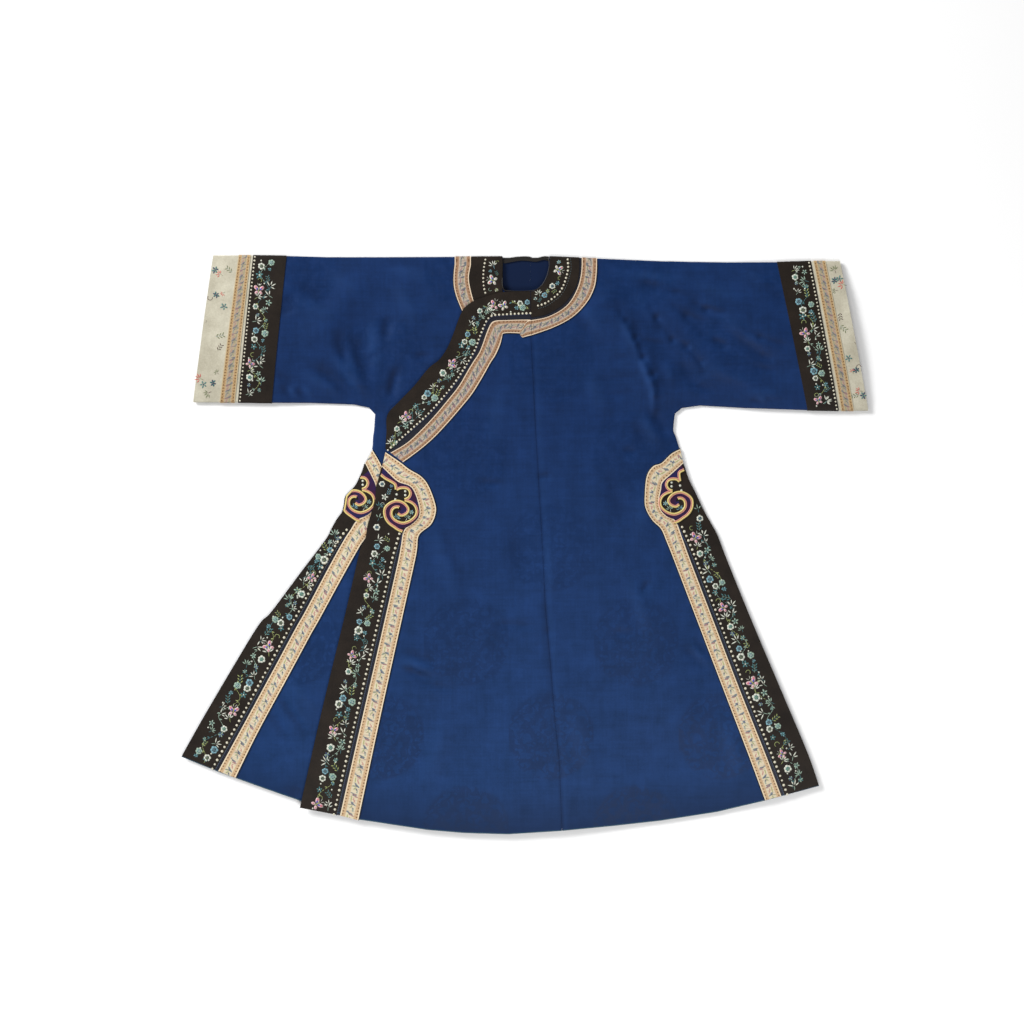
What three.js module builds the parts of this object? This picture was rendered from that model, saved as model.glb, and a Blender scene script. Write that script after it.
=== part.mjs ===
// Woman's side-fastening silk robe, laid flat with its front up. Millimetres, +X across, +Y to the collar, +Z up.
import * as THREE from "three";

// ---- driving sizes --------------------------------------------------------------------------------------------
const WALL = 1.5; // lined damask
const TRIM = 0.9; // woven ribbons and satin bands
const GAP = 0.42; // between a panel and what is sewn on it
const SEAM = 0.3; // between two pieces that meet edge to edge
const REST = 2.4; // inner face of the lowest front above the ground
const OVER = 4.4; // step from the inner front up to the overlap
const SLEEVE_LOFT = 9.5; // how far a sleeve's front stands off its back
const BODY_LOFT = 6.5;
const CUFF_LIFT = 2.6; // the sleeve's back rises to clear the bands round its end
const NAVY = 5; // strip of robe cloth between a band and its ribbon
const BULGE_STEPS = 4;

// ---- outlines ---------------------------------------------------------------------------------------------------
const pts = (...rows) => rows.map(([x, y]) => ({ x, y }));
const HEM = pts([-660, -408], [-588, -437], [-499, -469], [-433, -492], [-320, -528], [-188, -548], [-117, -554],
  [-33, -556.5], [71, -550], [167, -541], [260, -531], [369, -514], [461, -492], [565, -464]);
const CENTRE_SEAM = pts([11, 484], [11, 402], [22, 190], [35, -31], [39, -119], [50, -244], [57, -333], [66, -421], [71, -550]);

// station lines across each sleeve, from the underarm to the cuff's end
const SLEEVE_L = [
  { at: "underarm", topX: 267, topY: 543, botX: 288, botY: 250 },
  { at: "curve", topX: 283, topY: 543, botX: 301, botY: 261 },
  { at: "upper", topX: 317, topY: 542, botX: 336, botY: 266 },
  { at: "middle", topX: 385, topY: 541, botX: 425, botY: 261 },
  { at: "band", topX: 484, topY: 541, botX: 542, botY: 257 },
  { at: "ribbon", topX: 550, topY: 543, botX: 603, botY: 256 },
  { at: "cuff", topX: 577, topY: 543, botX: 631, botY: 256 },
  { at: "end", topX: 605, topY: 543, botX: 659, botY: 256 },
];
const SLEEVE_R = [
  { at: "underarm", topX: -271, topY: 551, botX: -288, botY: 249 },
  { at: "curve", topX: -285, topY: 551, botX: -300, botY: 262 },
  { at: "upper", topX: -315, topY: 551, botX: -330, botY: 268 },
  { at: "middle", topX: -380, topY: 551, botX: -413, botY: 271 },
  { at: "band", topX: -458, topY: 553, botX: -486, botY: 271 },
  { at: "ribbon", topX: -523, topY: 554, botX: -552, botY: 272 },
  { at: "cuff", topX: -550, topY: 554, botX: -586, botY: 272 },
  { at: "end", topX: -599, topY: 554, botX: -637, botY: 272 },
];
// from the underarm corner to the hem; rows up to slitRow are sewn
const SIDE_L = pts([288, 250], [285, 219], [290, 205], [298, 178], [305, 154], [312, 129], [328, 97], [342, 67],
  [353, 44], [365, 31], [388, -31], [413, -92], [438, -154], [463, -216], [490, -277], [515, -339], [542, -400], [565, -464]);
const SIDE_R = pts([-288, 249], [-290, 219], [-292, 205], [-294, 182], [-305, 166], [-312, 142], [-327, 111], [-345, 92],
  [-349, 67], [-362, 47], [-384, 7], [-406, -22], [-428, -51], [-457, -90], [-487, -130], [-511, -155], [-535, -195], [-560, -235],
  [-590, -287], [-621, -339], [-660, -408]);
const SLIT_ROW = 3;
// front neckline, from the centre out to the shoulder fold
const NECK_L = pts([11, 484], [29, 491], [41, 508], [47, 530], [47, 552]);
const NECK_R = pts([-30, 474], [-42, 488], [-44, 517], [-43, 552]);
const INNER_EDGE = pts([-30, 474], [-32, 300], [-38, 100], [-46, -200], [-55, -553]);
// overlap: neck end down the diagonal to the underarm, then the slit edge to the hem
const OVERLAP_EDGE = pts([-44, 483], [-77, 474], [-99, 466], [-117, 452], [-127, 432], [-136, 407], [-148, 378],
  [-164, 354], [-185, 337], [-212, 304], [-240, 275], [-264, 248], [-269, 177], [-275, 156], [-279, 131],
  [-286, 107], [-288, 83], [-295, 59], [-302, 36], [-306, 12], [-315, -6], [-345, -135], [-388, -313], [-410, -408], [-422, -460], [-433, -509]);
const LAY_L = pts([288, 250], [298, 178], [565, -464]);
const LAY_R = pts([-288, 249], [-294, 182], [-660, -408]);

// soft folds that the cloth keeps: a ridge (rise > 0) or trough from one end to the other
const FOLDS = [
  { name: "yoke to underarm", x0: 170, y0: 455, x1: 262, y1: 285, wide: 30, rise: 3.4 },
  { name: "beside it", x0: 215, y0: 470, x1: 305, y1: 330, wide: 26, rise: -2.6 },
  { name: "sleeve 1", x0: 225, y0: 468, x1: 372, y1: 350, wide: 26, rise: 2.6 },
  { name: "sleeve 2", x0: 300, y0: 485, x1: 470, y1: 395, wide: 24, rise: 2.2 },
  { name: "sleeve 3", x0: 330, y0: 440, x1: 480, y1: 330, wide: 28, rise: -2.2 },
  { name: "right sleeve 1", x0: -320, y0: 310, x1: -385, y1: 400, wide: 28, rise: 2.6 },
  { name: "right sleeve 2", x0: -330, y0: 350, x1: -300, y1: 440, wide: 30, rise: -2.4 },
  { name: "right sleeve 3", x0: -230, y0: 400, x1: -330, y1: 470, wide: 30, rise: 2.0 },
  { name: "skirt left", x0: 150, y0: 60, x1: 230, y1: -300, wide: 55, rise: 2.0 },
  { name: "skirt middle", x0: -60, y0: 120, x1: -110, y1: -380, wide: 60, rise: -2.2 },
  { name: "skirt side", x0: 245, y0: -120, x1: 300, y1: -330, wide: 34, rise: 2.2 },
  { name: "underlap", x0: -436, y0: -300, x1: -396, y1: -400, wide: 22, rise: 1.6 },
];

// ---- shape of the laid cloth ------------------------------------------------------------------------------------
const clamp01 = (t) => Math.min(1, Math.max(0, t));
const ease = (a, b, x) => {
  const t = clamp01((x - a) / (b - a));
  return t * t * (3 - 2 * t);
};
const lerp = (a, b, t) => a + (b - a) * t;
const mix = (p, q, t) => ({ x: lerp(p.x, q.x, t), y: lerp(p.y, q.y, t) });

function heightAlong(line, key, other, value) {
  const rows = [...line].sort((p, q) => p[key] - q[key]);
  for (let i = 1; i < rows.length; i += 1) {
    if (value <= rows[i][key]) {
      const t = (value - rows[i - 1][key]) / Math.max(1e-6, rows[i][key] - rows[i - 1][key]);
      return lerp(rows[i - 1][other], rows[i][other], Math.max(0, t));
    }
  }
  return rows[rows.length - 1][other];
}

const SHOULDER = [...SLEEVE_R.map((r) => ({ x: r.topX, y: r.topY })), { x: -43, y: 552 }, { x: 47, y: 552 },
  ...SLEEVE_L.map((r) => ({ x: r.topX, y: r.topY }))];
const UNDER_L = SLEEVE_L.map((r) => ({ x: r.botX, y: r.botY }));
const UNDER_R = SLEEVE_R.map((r) => ({ x: r.botX, y: r.botY }));
const shoulderY = (x) => heightAlong(SHOULDER, "x", "y", x);
const hemY = (x) => heightAlong(HEM, "x", "y", x);

function edgeDistance(x, y) {
  const under = x > 0 ? UNDER_L : UNDER_R;
  const side = x > 0 ? LAY_L : LAY_R;
  const corner = side[0];
  const below = y - heightAlong(under, "x", "y", x);
  const inside = Math.abs(heightAlong(side, "y", "x", y)) - Math.abs(x);
  if (y <= corner.y) {
    return Math.max(0, inside);
  }
  if (Math.abs(x) >= Math.abs(corner.x)) {
    return Math.max(0, below);
  }
  return Math.hypot(y - corner.y, Math.abs(corner.x) - Math.abs(x));
}

function foldRise(x, y) {
  let sum = 0;
  for (const f of FOLDS) {
    const dx = f.x1 - f.x0;
    const dy = f.y1 - f.y0;
    const long = Math.hypot(dx, dy);
    const u = ((x - f.x0) * dx + (y - f.y0) * dy) / long;
    const across = ((x - f.x0) * dy - (y - f.y0) * dx) / long;
    const ends = Math.exp(-(Math.max(0, -u, u - long) ** 2) / (2 * f.wide * f.wide));
    sum += f.rise * ends * Math.exp(-(across * across) / (2 * f.wide * f.wide));
  }
  return sum;
}

// how far the front stands above its lowest height
function loft(x, y) {
  const fromFold = Math.max(0, shoulderY(x) - y);
  const fromEdge = edgeDistance(x, y);
  const fromHem = Math.max(0, y - hemY(x));
  const full = lerp(BODY_LOFT, SLEEVE_LOFT, ease(250, 420, Math.abs(x)) * ease(200, 300, y));
  const swell = (1 - Math.exp(-fromFold / 70)) * (1 - Math.exp(-fromEdge / 75)) * (0.25 + 0.75 * (1 - Math.exp(-fromHem / 110)));
  const free = ease(20, 90, fromFold) * ease(10, 80, fromEdge) * ease(10, 120, fromHem);
  return full * swell + free * foldRise(x, y);
}
const lift = (x) => CUFF_LIFT * ease(380, 470, Math.abs(x));
const backZ = (x) => WALL + lift(x);
const innerZ = (x, y) => REST + lift(x) + loft(x, y);
const overlapZ = (x, y) => innerZ(x, y) + OVER;
const leftZ = (x, y) => innerZ(x, y) + OVER * (1 - ease(40, 270, x));

// ---- sheets -----------------------------------------------------------------------------------------------------
const UP = { x: 0, y: 0, z: 1 };
const node = (x, y, z, n = UP) => ({ x, y, z, n });

// points round the half circle that joins a front edge to its back edge
function bulge(p, out, frontZ, steps = BULGE_STEPS, stop = Math.PI) {
  const hi = frontZ(p.x, p.y);
  const lo = backZ(p.x);
  const r = (hi - lo) / 2;
  return Array.from({ length: steps + 1 }, (_, i) => {
    const a = (stop * i) / steps;
    const n = { x: out.x * Math.sin(a), y: out.y * Math.sin(a), z: Math.cos(a) };
    return node(p.x + r * n.x, p.y + r * n.y, (hi + lo) / 2 + r * n.z, n);
  });
}

// the flat point behind an outline point, so that the bulge ends on the outline
function inset(p, out, frontZ) {
  const r = (frontZ(p.x, p.y) - backZ(p.x)) / 2 + WALL;
  return { x: p.x - out.x * r, y: p.y - out.y * r };
}

const along = (row, off) => [row.x + row.n.x * off, row.y + row.n.y * off, row.z + row.n.z * off];

// A closed wall from patches of points: each patch is rows of nodes, shared edges weld, free edges get a rim.
function sheet(name, look, patches, from = 0, to = WALL) {
  const outer = [];
  const inner = [];
  const index = new Map();
  const id = (p) => {
    const o = along(p, to);
    const key = o.map((v) => Math.round(v * 200)).join();
    if (!index.has(key)) {
      index.set(key, outer.length);
      outer.push(o);
      inner.push(along(p, from));
    }
    return index.get(key);
  };
  const faces = [];
  const edges = new Map();
  const addFace = (a, b, c, p) => {
    if (a === b || b === c || a === c) {
      return;
    }
    const u = outer[b].map((v, i) => v - outer[a][i]);
    const w = outer[c].map((v, i) => v - outer[a][i]);
    const facing = (u[1] * w[2] - u[2] * w[1]) * p.n.x + (u[2] * w[0] - u[0] * w[2]) * p.n.y + (u[0] * w[1] - u[1] * w[0]) * p.n.z;
    const f = facing >= 0 ? [a, b, c] : [a, c, b];
    faces.push(f);
    f.forEach((v, i) => {
      const next = f[(i + 1) % 3];
      edges.set(`${v},${next}`, [v, next]);
    });
  };
  for (const rows of patches) {
    for (let i = 1; i < rows.length; i += 1) {
      for (let j = 1; j < rows[i].length; j += 1) {
        const quad = [rows[i - 1][j - 1], rows[i - 1][j], rows[i][j], rows[i][j - 1]];
        const [a, b, c, d] = quad.map(id);
        addFace(a, b, c, quad[1]);
        addFace(a, c, d, quad[3]);
      }
    }
  }
  const n = outer.length;
  const all = [...faces, ...faces.map(([a, b, c]) => [a + n, c + n, b + n])];
  for (const [a, b] of edges.values()) {
    if (!edges.has(`${b},${a}`)) {
      all.push([b, a, a + n], [b, a + n, b + n]);
    }
  }
  return mesh(name, look, [...outer, ...inner], all);
}

function mesh(name, look, points, triangles) {
  const geometry = new THREE.BufferGeometry();
  geometry.setAttribute("position", new THREE.Float32BufferAttribute(points.flat(), 3));
  geometry.setIndex(triangles.flat());
  geometry.computeVertexNormals();
  const made = new THREE.Mesh(geometry, new THREE.MeshStandardMaterial({ color: look.color, roughness: look.roughness, metalness: 0 }));
  made.name = name;
  return made;
}

// a line of points resampled through its own corners by a smooth curve, counts[i] steps on its stretch i
function curve(line, counts = line.slice(1).map(() => 2)) {
  const out = [];
  for (let i = 0; i + 1 < line.length; i += 1) {
    const per = counts[i];
    const [a, b, c, d] = [line[Math.max(0, i - 1)], line[i], line[i + 1], line[Math.min(line.length - 1, i + 2)]];
    for (let k = 0; k < per; k += 1) {
      const t = k / per;
      const blend = (key) => {
        const m1 = (c[key] - a[key]) / 2;
        const m2 = (d[key] - b[key]) / 2;
        return (2 * t ** 3 - 3 * t ** 2 + 1) * b[key] + (t ** 3 - 2 * t ** 2 + t) * m1 +
          (-2 * t ** 3 + 3 * t ** 2) * c[key] + (t ** 3 - t ** 2) * m2;
      };
      out.push({ x: blend("x"), y: blend("y") });
    }
  }
  out.push(line[line.length - 1]);
  return out;
}

// the point a part t of the way along a line, by length
function pointAt(line, t) {
  const steps = line.slice(1).map((p, i) => Math.hypot(p.x - line[i].x, p.y - line[i].y));
  let left = clamp01(t) * steps.reduce((sum, s) => sum + s, 0);
  for (let i = 0; i < steps.length; i += 1) {
    if (left <= steps[i] || i === steps.length - 1) {
      return mix(line[i], line[i + 1], Math.min(1, left / steps[i]));
    }
    left -= steps[i];
  }
  return line[line.length - 1];
}
const resample = (line, count) => Array.from({ length: count + 1 }, (_, i) => pointAt(line, i / count));

const CLOTH = { color: 0x1f3564, roughness: 0.55 };
const BAND = { color: 0x2a211c, roughness: 0.6 };
const RIBBON = { color: 0xc9a27c, roughness: 0.75 };
const SATIN = { color: 0xd9d0b8, roughness: 0.45 };
const PURPLE = { color: 0x3a2145, roughness: 0.55 };

// ---- body halves: front, back and sleeve cut in one, folded along the shoulder -----------------------------------
function sleeveStations(table, names, between = 2) {
  const rows = [];
  const used = table.filter((r) => names.includes(r.at));
  used.forEach((row, i) => {
    const steps = i + 1 < used.length ? between : 1;
    for (let k = 0; k < steps; k += 1) {
      const next = used[Math.min(i + 1, used.length - 1)];
      const t = k / between;
      rows.push({ top: mix({ x: row.topX, y: row.topY }, { x: next.topX, y: next.topY }, t),
        bot: mix({ x: row.botX, y: row.botY }, { x: next.botX, y: next.botY }, t) });
    }
  });
  return rows;
}

// one ring of the sleeve tube: front from top to bottom, bottom bulge, back to the top, top bulge
const TOP_OUT = { x: 0, y: 1 };
const LOW_OUT = { x: 0, y: -1 };
const FRONT_ROWS = 9;
function ringParts(station, frontZ, lowOut = LOW_OUT) {
  const top = inset(station.top, TOP_OUT, frontZ);
  const bot = inset(station.bot, lowOut, frontZ);
  const front = Array.from({ length: FRONT_ROWS + 1 }, (_, i) => {
    const p = mix(top, bot, i / FRONT_ROWS);
    return node(p.x, p.y, frontZ(p.x, p.y));
  });
  const down = { x: 0, y: 0, z: -1 };
  const back = Array.from({ length: 4 }, (_, i) => {
    const p = mix(top, bot, i / 3);
    return node(p.x, p.y, backZ(p.x), down);
  });
  return { front, back, topBulge: bulge(top, TOP_OUT, frontZ), lowBulge: bulge(bot, lowOut, frontZ) };
}

const seamRows = []; // heights of the centre seam's points, the same on both sides of the seam
function bodyHalf(name, part) {
  const { sleeve, side, neck, frontCentre, backCentre, frontZ, hemEnd, cols, sx } = part;
  const cornerOut = { x: 0.7071 * sx, y: -0.7071 };
  const stations = sleeveStations(sleeve, ["underarm", "curve", "upper", "middle", "band", "ribbon"]);
  stations[stations.length - 1] = { ...part.sleeveEnd };
  const rings = stations.map((s, i) => ringParts(s, frontZ, i === 0 ? cornerOut : LOW_OUT));
  const patches = [
    rings.map((r) => r.front),
    rings.map((r) => r.lowBulge),
    rings.map((r) => r.back),
    rings.map((r) => r.topBulge),
  ];
  // body columns run from the centre to the underarm station
  const neckCols = neck.length - 1;
  const shoulderStart = neck[neckCols];
  const shoulderCols = cols - neckCols;
  const last = rings[0];
  const topFlat = (k) => {
    if (k === cols) {
      return last.front[0];
    }
    if (k < neckCols) {
      return neck[k];
    }
    const t = (k - neckCols) / shoulderCols;
    const x = lerp(shoulderStart.x, stations[0].top.x, t);
    return inset({ x, y: shoulderY(x) }, TOP_OUT, frontZ);
  };
  const cornerFlat = last.front[FRONT_ROWS];
  // the seam below the underarm, then the open slit
  const lower = [cornerFlat];
  side.slice(1).forEach((p, i) => lower.push(i + 1 <= SLIT_ROW ? inset(p, { x: sx, y: 0 }, frontZ) : p));
  const backLower = lower.map((p, i) => (i <= SLIT_ROW ? p : { x: p.x - sx * 4, y: p.y + (i === lower.length - 1 ? 3 : 0) }));
  const underY = cornerFlat.y;
  const centreAt = (line, y) => ({ x: heightAlong(line, "y", "x", y), y });
  const frontBlock = [];
  for (let i = 0; i <= FRONT_ROWS; i += 1) {
    const t = i / FRONT_ROWS;
    frontBlock.push(Array.from({ length: cols + 1 }, (_, k) => {
      if (k === cols) {
        return last.front[i];
      }
      const mid = mix(centreAt(frontCentre, underY), cornerFlat, k / cols);
      const start = topFlat(k);
      let p = mix(start, mid, t);
      if (k === 0) {
        p = centreAt(frontCentre, p.y);
      }
      return node(p.x, p.y, frontZ(p.x, p.y));
    }));
  }
  const skirtRows = (centreLine, edge, end, zAt, normal, picks) => picks.map((r) => {
    const outerPoint = edge[r];
    const s = r / (edge.length - 1);
    const centreY = lerp(underY, end, clamp01((underY - outerPoint.y) / (underY - edge[edge.length - 1].y)));
    const centrePoint = centreAt(centreLine, centreY);
    return Array.from({ length: cols + 1 }, (_, k) => {
      const f = k / cols;
      let p = mix(centrePoint, outerPoint, f);
      if (r === edge.length - 1 && k < cols) {
        p = { x: p.x, y: hemY(p.x) + (normal.z < 0 ? 3 : 0) };
      } else if (k < cols) {
        // rows sag with the hem as they near it
        const low = hemY(p.x) - lerp(hemY(centrePoint.x), edge[edge.length - 1].y, f);
        p = { x: p.x, y: p.y + low * s * s };
      }
      return node(p.x, p.y, zAt(p.x, p.y), normal);
    });
  });
  const every = lower.map((_, i) => i);
  const front = skirtRows(frontCentre, lower, hemEnd, frontZ, UP, every);
  front[0] = frontBlock[FRONT_ROWS];
  patches.push(frontBlock, front);
  if (part.frontCentre === CENTRE_SEAM) {
    seamRows.push(...frontBlock.map((r) => r[0].y), ...front.slice(1).map((r) => r[0].y));
  }
  // sewn part of the side
  patches.push(lower.slice(0, SLIT_ROW + 1).map((p, i) => (i === 0 ? last.lowBulge : bulge(p, { x: sx, y: 0 }, frontZ))));
  // the fold over the shoulder and the back
  const foldCols = Array.from({ length: shoulderCols + 1 }, (_, k) => k + neckCols);
  patches.push(foldCols.map((k) => (k === cols ? last.topBulge : bulge(topFlat(k), TOP_OUT, frontZ))));
  const down = { x: 0, y: 0, z: -1 };
  const backFlat = (x) => backZ(x);
  const backBlock = [0, 1, 2, 3].map((i) => Array.from({ length: cols + 1 }, (_, k) => {
    if (k === cols) {
      return last.back[i];
    }
    const mid = mix(centreAt(backCentre, underY), cornerFlat, k / cols);
    let start = topFlat(k);
    if (k < neckCols) {
      const x = lerp(backCentre[0].x, shoulderStart.x, k / neckCols);
      start = { x, y: lerp(backCentre[0].y, topFlat(neckCols).y, k / neckCols) };
    }
    const p = mix(start, mid, i / 3);
    return node(p.x, p.y, backFlat(p.x), down);
  }));
  const backRows = skirtRows(backCentre, backLower, hemEnd + 3, backFlat, down, every);
  backRows[0] = backBlock[3];
  patches.push(backBlock, backRows);
  return sheet(name, CLOTH, patches);
}

const BACK_L = pts([11, 550], [11, -560]);
const BACK_R = pts([11 - SEAM, 550], [11 - SEAM, -560]);
const seamShift = (line, dx) => line.map((p) => ({ x: p.x + dx, y: p.y }));

const CLOTH_END = 0.1; // the robe cloth stops this part of the way from the ribbon's first edge to the cuff's end
const endStation = (table, t) => {
  const a = table.find((r) => r.at === "ribbon");
  const b = table.find((r) => r.at === "end");
  return { top: mix({ x: a.topX, y: a.topY }, { x: b.topX, y: b.topY }, t), bot: mix({ x: a.botX, y: a.botY }, { x: b.botX, y: b.botY }, t) };
};

const root = new THREE.Group();
root.name = "robe";
root.add(bodyHalf("body_left", { sleeve: SLEEVE_L, side: SIDE_L, neck: NECK_L, frontCentre: CENTRE_SEAM, backCentre: BACK_L,
  frontZ: leftZ, hemEnd: hemY(71), cols: 13, sx: 1, sleeveEnd: endStation(SLEEVE_L, CLOTH_END) }));
root.add(bodyHalf("body_right", { sleeve: SLEEVE_R, side: SIDE_R, neck: NECK_R, frontCentre: INNER_EDGE, backCentre: BACK_R,
  frontZ: innerZ, hemEnd: -548, cols: 12, sx: -1, sleeveEnd: endStation(SLEEVE_R, CLOTH_END) }));

// the same outline with long stretches halved until it has the wanted number of points
function resampleRows(line, count) {
  const out = [...line];
  while (out.length < count) {
    const gaps = out.slice(1).map((p, i) => Math.hypot(p.x - out[i].x, p.y - out[i].y));
    const at = gaps.indexOf(Math.max(...gaps));
    out.splice(at + 1, 0, mix(out[at], out[at + 1], 0.5));
  }
  return out;
}

// ---- overlap ------------------------------------------------------------------------------------------------------
function overlapPanel() {
  const edge = resampleRows(OVERLAP_EDGE, seamRows.length);
  const seam = seamShift(CENTRE_SEAM, -SEAM);
  const cols = 12;
  const rows = edge.map((p, r) => {
    const t = (edge[0].y - p.y) / (edge[0].y - edge[edge.length - 1].y);
    const y = seamRows[r];
    const centre = { x: heightAlong(seam, "y", "x", y), y };
    return Array.from({ length: cols + 1 }, (_, k) => {
      const f = k / cols;
      let q = mix(p, centre, f);
      if (r === edge.length - 1) {
        q = { x: q.x, y: k === 0 ? p.y : hemY(q.x) };
      } else if (k > 0) {
        const low = hemY(q.x) - lerp(p.y < 0 ? hemY(p.x) : -509, -550, f);
        q = { x: q.x, y: q.y + low * t ** 4 };
      }
      return node(q.x, q.y, overlapZ(q.x, q.y));
    });
  });
  return sheet("front_overlap", CLOTH, [rows]);
}
root.add(overlapPanel());

// ---- bands and ribbons sewn on a panel ----------------------------------------------------------------------------
// rows of matched edge points; the strip lies on its panel's face, moved out
function strip(name, look, rows, zAt, options = {}) {
  const { cols = 3, step = 22, level = 0, wrap = false, thick = TRIM } = options;
  const [one, two] = [rows.map(([x, y]) => ({ x, y })), rows.map(([, , x, y]) => ({ x, y }))];
  const span = (line, i) => Math.hypot(line[i + 1].x - line[i].x, line[i + 1].y - line[i].y);
  const counts = options.counts || one.slice(1).map((_, i) => Math.max(1, Math.ceil(Math.max(span(one, i), span(two, i)) / step)));
  const left = curve(one, counts);
  const right = curve(two, counts);
  const grid = left.map((p, i) => Array.from({ length: cols + 1 }, (_, k) => {
    const q = mix(p, right[i], k / cols);
    return node(q.x, q.y, zAt(q.x, q.y));
  }));
  if (wrap) {
    const first = Array.from({ length: cols + 1 }, (_, k) => {
      const q = mix(left[0], right[0], k / cols);
      const flat = inset({ x: q.x, y: shoulderY(q.x) }, TOP_OUT, zAt);
      return bulge(flat, TOP_OUT, zAt, 3, Math.PI * 0.55);
    });
    for (let i = 0; i <= 3; i += 1) {
      grid.unshift(first.map((round) => round[i]));
    }
  }
  const base = WALL + GAP + level;
  return sheet(name, look, [grid], base, base + thick);
}

// half ruyi head and slit band: outer edge, edge of the black ground, edges of the ribbon
const SLIT_LEFT = [
  { ex: 305, ey: 153, gx: 304, gy: 155, rx: 298, ry: 182 },
  { ex: 309, ey: 141, gx: 291, gy: 143, rx: 281, ry: 173 },
  { ex: 314, ey: 126, gx: 281, gy: 134, rx: 262, ry: 155 },
  { ex: 320, ey: 113, gx: 264, gy: 118, rx: 246, ry: 149 },
  { ex: 328, ey: 97, gx: 261, gy: 104, rx: 234, ry: 131 },
  { ex: 335, ey: 82, gx: 257, gy: 84, rx: 230, ry: 97 },
  { ex: 342, ey: 67, gx: 260, gy: 66, rx: 231, ry: 70 },
  { ex: 350, ey: 52, gx: 272, gy: 53, rx: 244, ry: 46 },
  { ex: 358, ey: 38, gx: 289, gy: 44, rx: 261, ry: 29 },
  { ex: 370, ey: 16, gx: 303, gy: 8, rx: 272, ry: 4 },
  { ex: 388, ey: -31, gx: 317, gy: -31, rx: 286, ry: -31 },
  { ex: 438, ey: -154, gx: 364, gy: -154, rx: 333, ry: -154 },
  { ex: 490, ey: -277, gx: 411, gy: -277, rx: 380, ry: -277 },
  { ex: 542, ey: -400, gx: 460, gy: -400, rx: 427, ry: -400 },
  { ex: 564, ey: -463, gx: 492, gy: -484, rx: 461, ry: -492 },
];
const SLIT_FRONT = [
  { ex: -276, ey: 146, gx: -274, gy: 148, rx: -268, ry: 176 },
  { ex: -279, ey: 134, gx: -258, gy: 132, rx: -240, ry: 157 },
  { ex: -282, ey: 122, gx: -243, gy: 119, rx: -222, ry: 143 },
  { ex: -285, ey: 113, gx: -221, gy: 111, rx: -200, ry: 130 },
  { ex: -286, ey: 107, gx: -211, gy: 97, rx: -186, ry: 113 },
  { ex: -288, ey: 83, gx: -203, gy: 70, rx: -174, ry: 83 },
  { ex: -295, ey: 59, gx: -204, gy: 52, rx: -171, ry: 62 },
  { ex: -302, ey: 36, gx: -216, gy: 39, rx: -180, ry: 38 },
  { ex: -306, ey: 12, gx: -232, gy: 26, rx: -203, ry: 18 },
  { ex: -315, ey: -6, gx: -238, gy: -4, rx: -207, ry: -8 },
  { ex: -322, ey: -35, gx: -243, gy: -31, rx: -211, ry: -31 },
  { ex: -345, ey: -135, gx: -266, gy: -133, rx: -233, ry: -130 },
  { ex: -388, ey: -313, gx: -308, gy: -316, rx: -275, ry: -320 },
  { ex: -432, ey: -506, gx: -355, gy: -521, rx: -320, ry: -530 },
];
const SLIT_RIGHT = [
  { ex: -309, ey: 153, gx: -307, gy: 155, rx: -293, ry: 180 },
  { ex: -313, ey: 140, gx: -297, gy: 135, rx: -281, ry: 160 },
  { ex: -320, ey: 124, gx: -288, gy: 116, rx: -270, ry: 137 },
  { ex: -328, ey: 110, gx: -285, gy: 100, rx: -264, ry: 112 },
  { ex: -345, ey: 92, gx: -286, gy: 84, rx: -263, ry: 77 },
  { ex: -348, ey: 76, gx: -293, gy: 65, rx: -270, ry: 48 },
  { ex: -352, ey: 61, gx: -306, gy: 54, rx: -286, ry: 32 },
  { ex: -362, ey: 47, gx: -323, gy: 45, rx: -300, ry: 18 },
  { ex: -373, ey: 27, gx: -335, gy: 27, rx: -310, ry: 6 },
  { ex: -384, ey: 7, gx: -348, gy: 7, rx: -320, ry: -9 },
  { ex: -428, ey: -51, gx: -380, gy: -51, rx: -352, ry: -66 },
  { ex: -487, ey: -130, gx: -422, gy: -130, rx: -395, ry: -145 },
  { ex: -511, ey: -155, gx: -439, gy: -160, rx: -412, ry: -175 },
  { ex: -560, ey: -235, gx: -482, gy: -240, rx: -455, ry: -255 },
  { ex: -621, ey: -339, gx: -539, gy: -345, rx: -512, ry: -360 },
  { ex: -659, ey: -407, gx: -589, gy: -436, rx: -556, ry: -449 },
];
const RUYI_ROWS = 9; // rows round the head, where the ribbon meets the ground with no strip of cloth between

function slitPair(tag, table, zAt) {
  const pull = (r, i) => {
    const w = Math.hypot(r.gx - r.ex, r.gy - r.ey);
    const back = i < RUYI_ROWS ? SEAM + 0.2 : lerp(SEAM + 0.2, NAVY, ease(RUYI_ROWS - 1, RUYI_ROWS + 1, i));
    return [r.ex, r.ey, lerp(r.gx, r.ex, back / w), lerp(r.gy, r.ey, back / w)];
  };
  const counts = table.slice(1).map((r, i) => {
    const q = table[i];
    const spans = [[r.ex - q.ex, r.ey - q.ey], [r.gx - q.gx, r.gy - q.gy], [r.rx - q.rx, r.ry - q.ry]];
    return Math.max(1, Math.ceil(Math.max(...spans.map(([x, y]) => Math.hypot(x, y))) / 22));
  });
  root.add(strip(`slit_band_${tag}`, BAND, table.map(pull), zAt, { counts }));
  root.add(strip(`slit_ribbon_${tag}`, RIBBON, table.map((r) => [r.gx, r.gy, r.rx, r.ry]), zAt, { cols: 2, counts }));
}
slitPair("left", SLIT_LEFT, leftZ);
slitPair("front", SLIT_FRONT, overlapZ);
slitPair("right", SLIT_RIGHT, innerZ);

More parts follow.
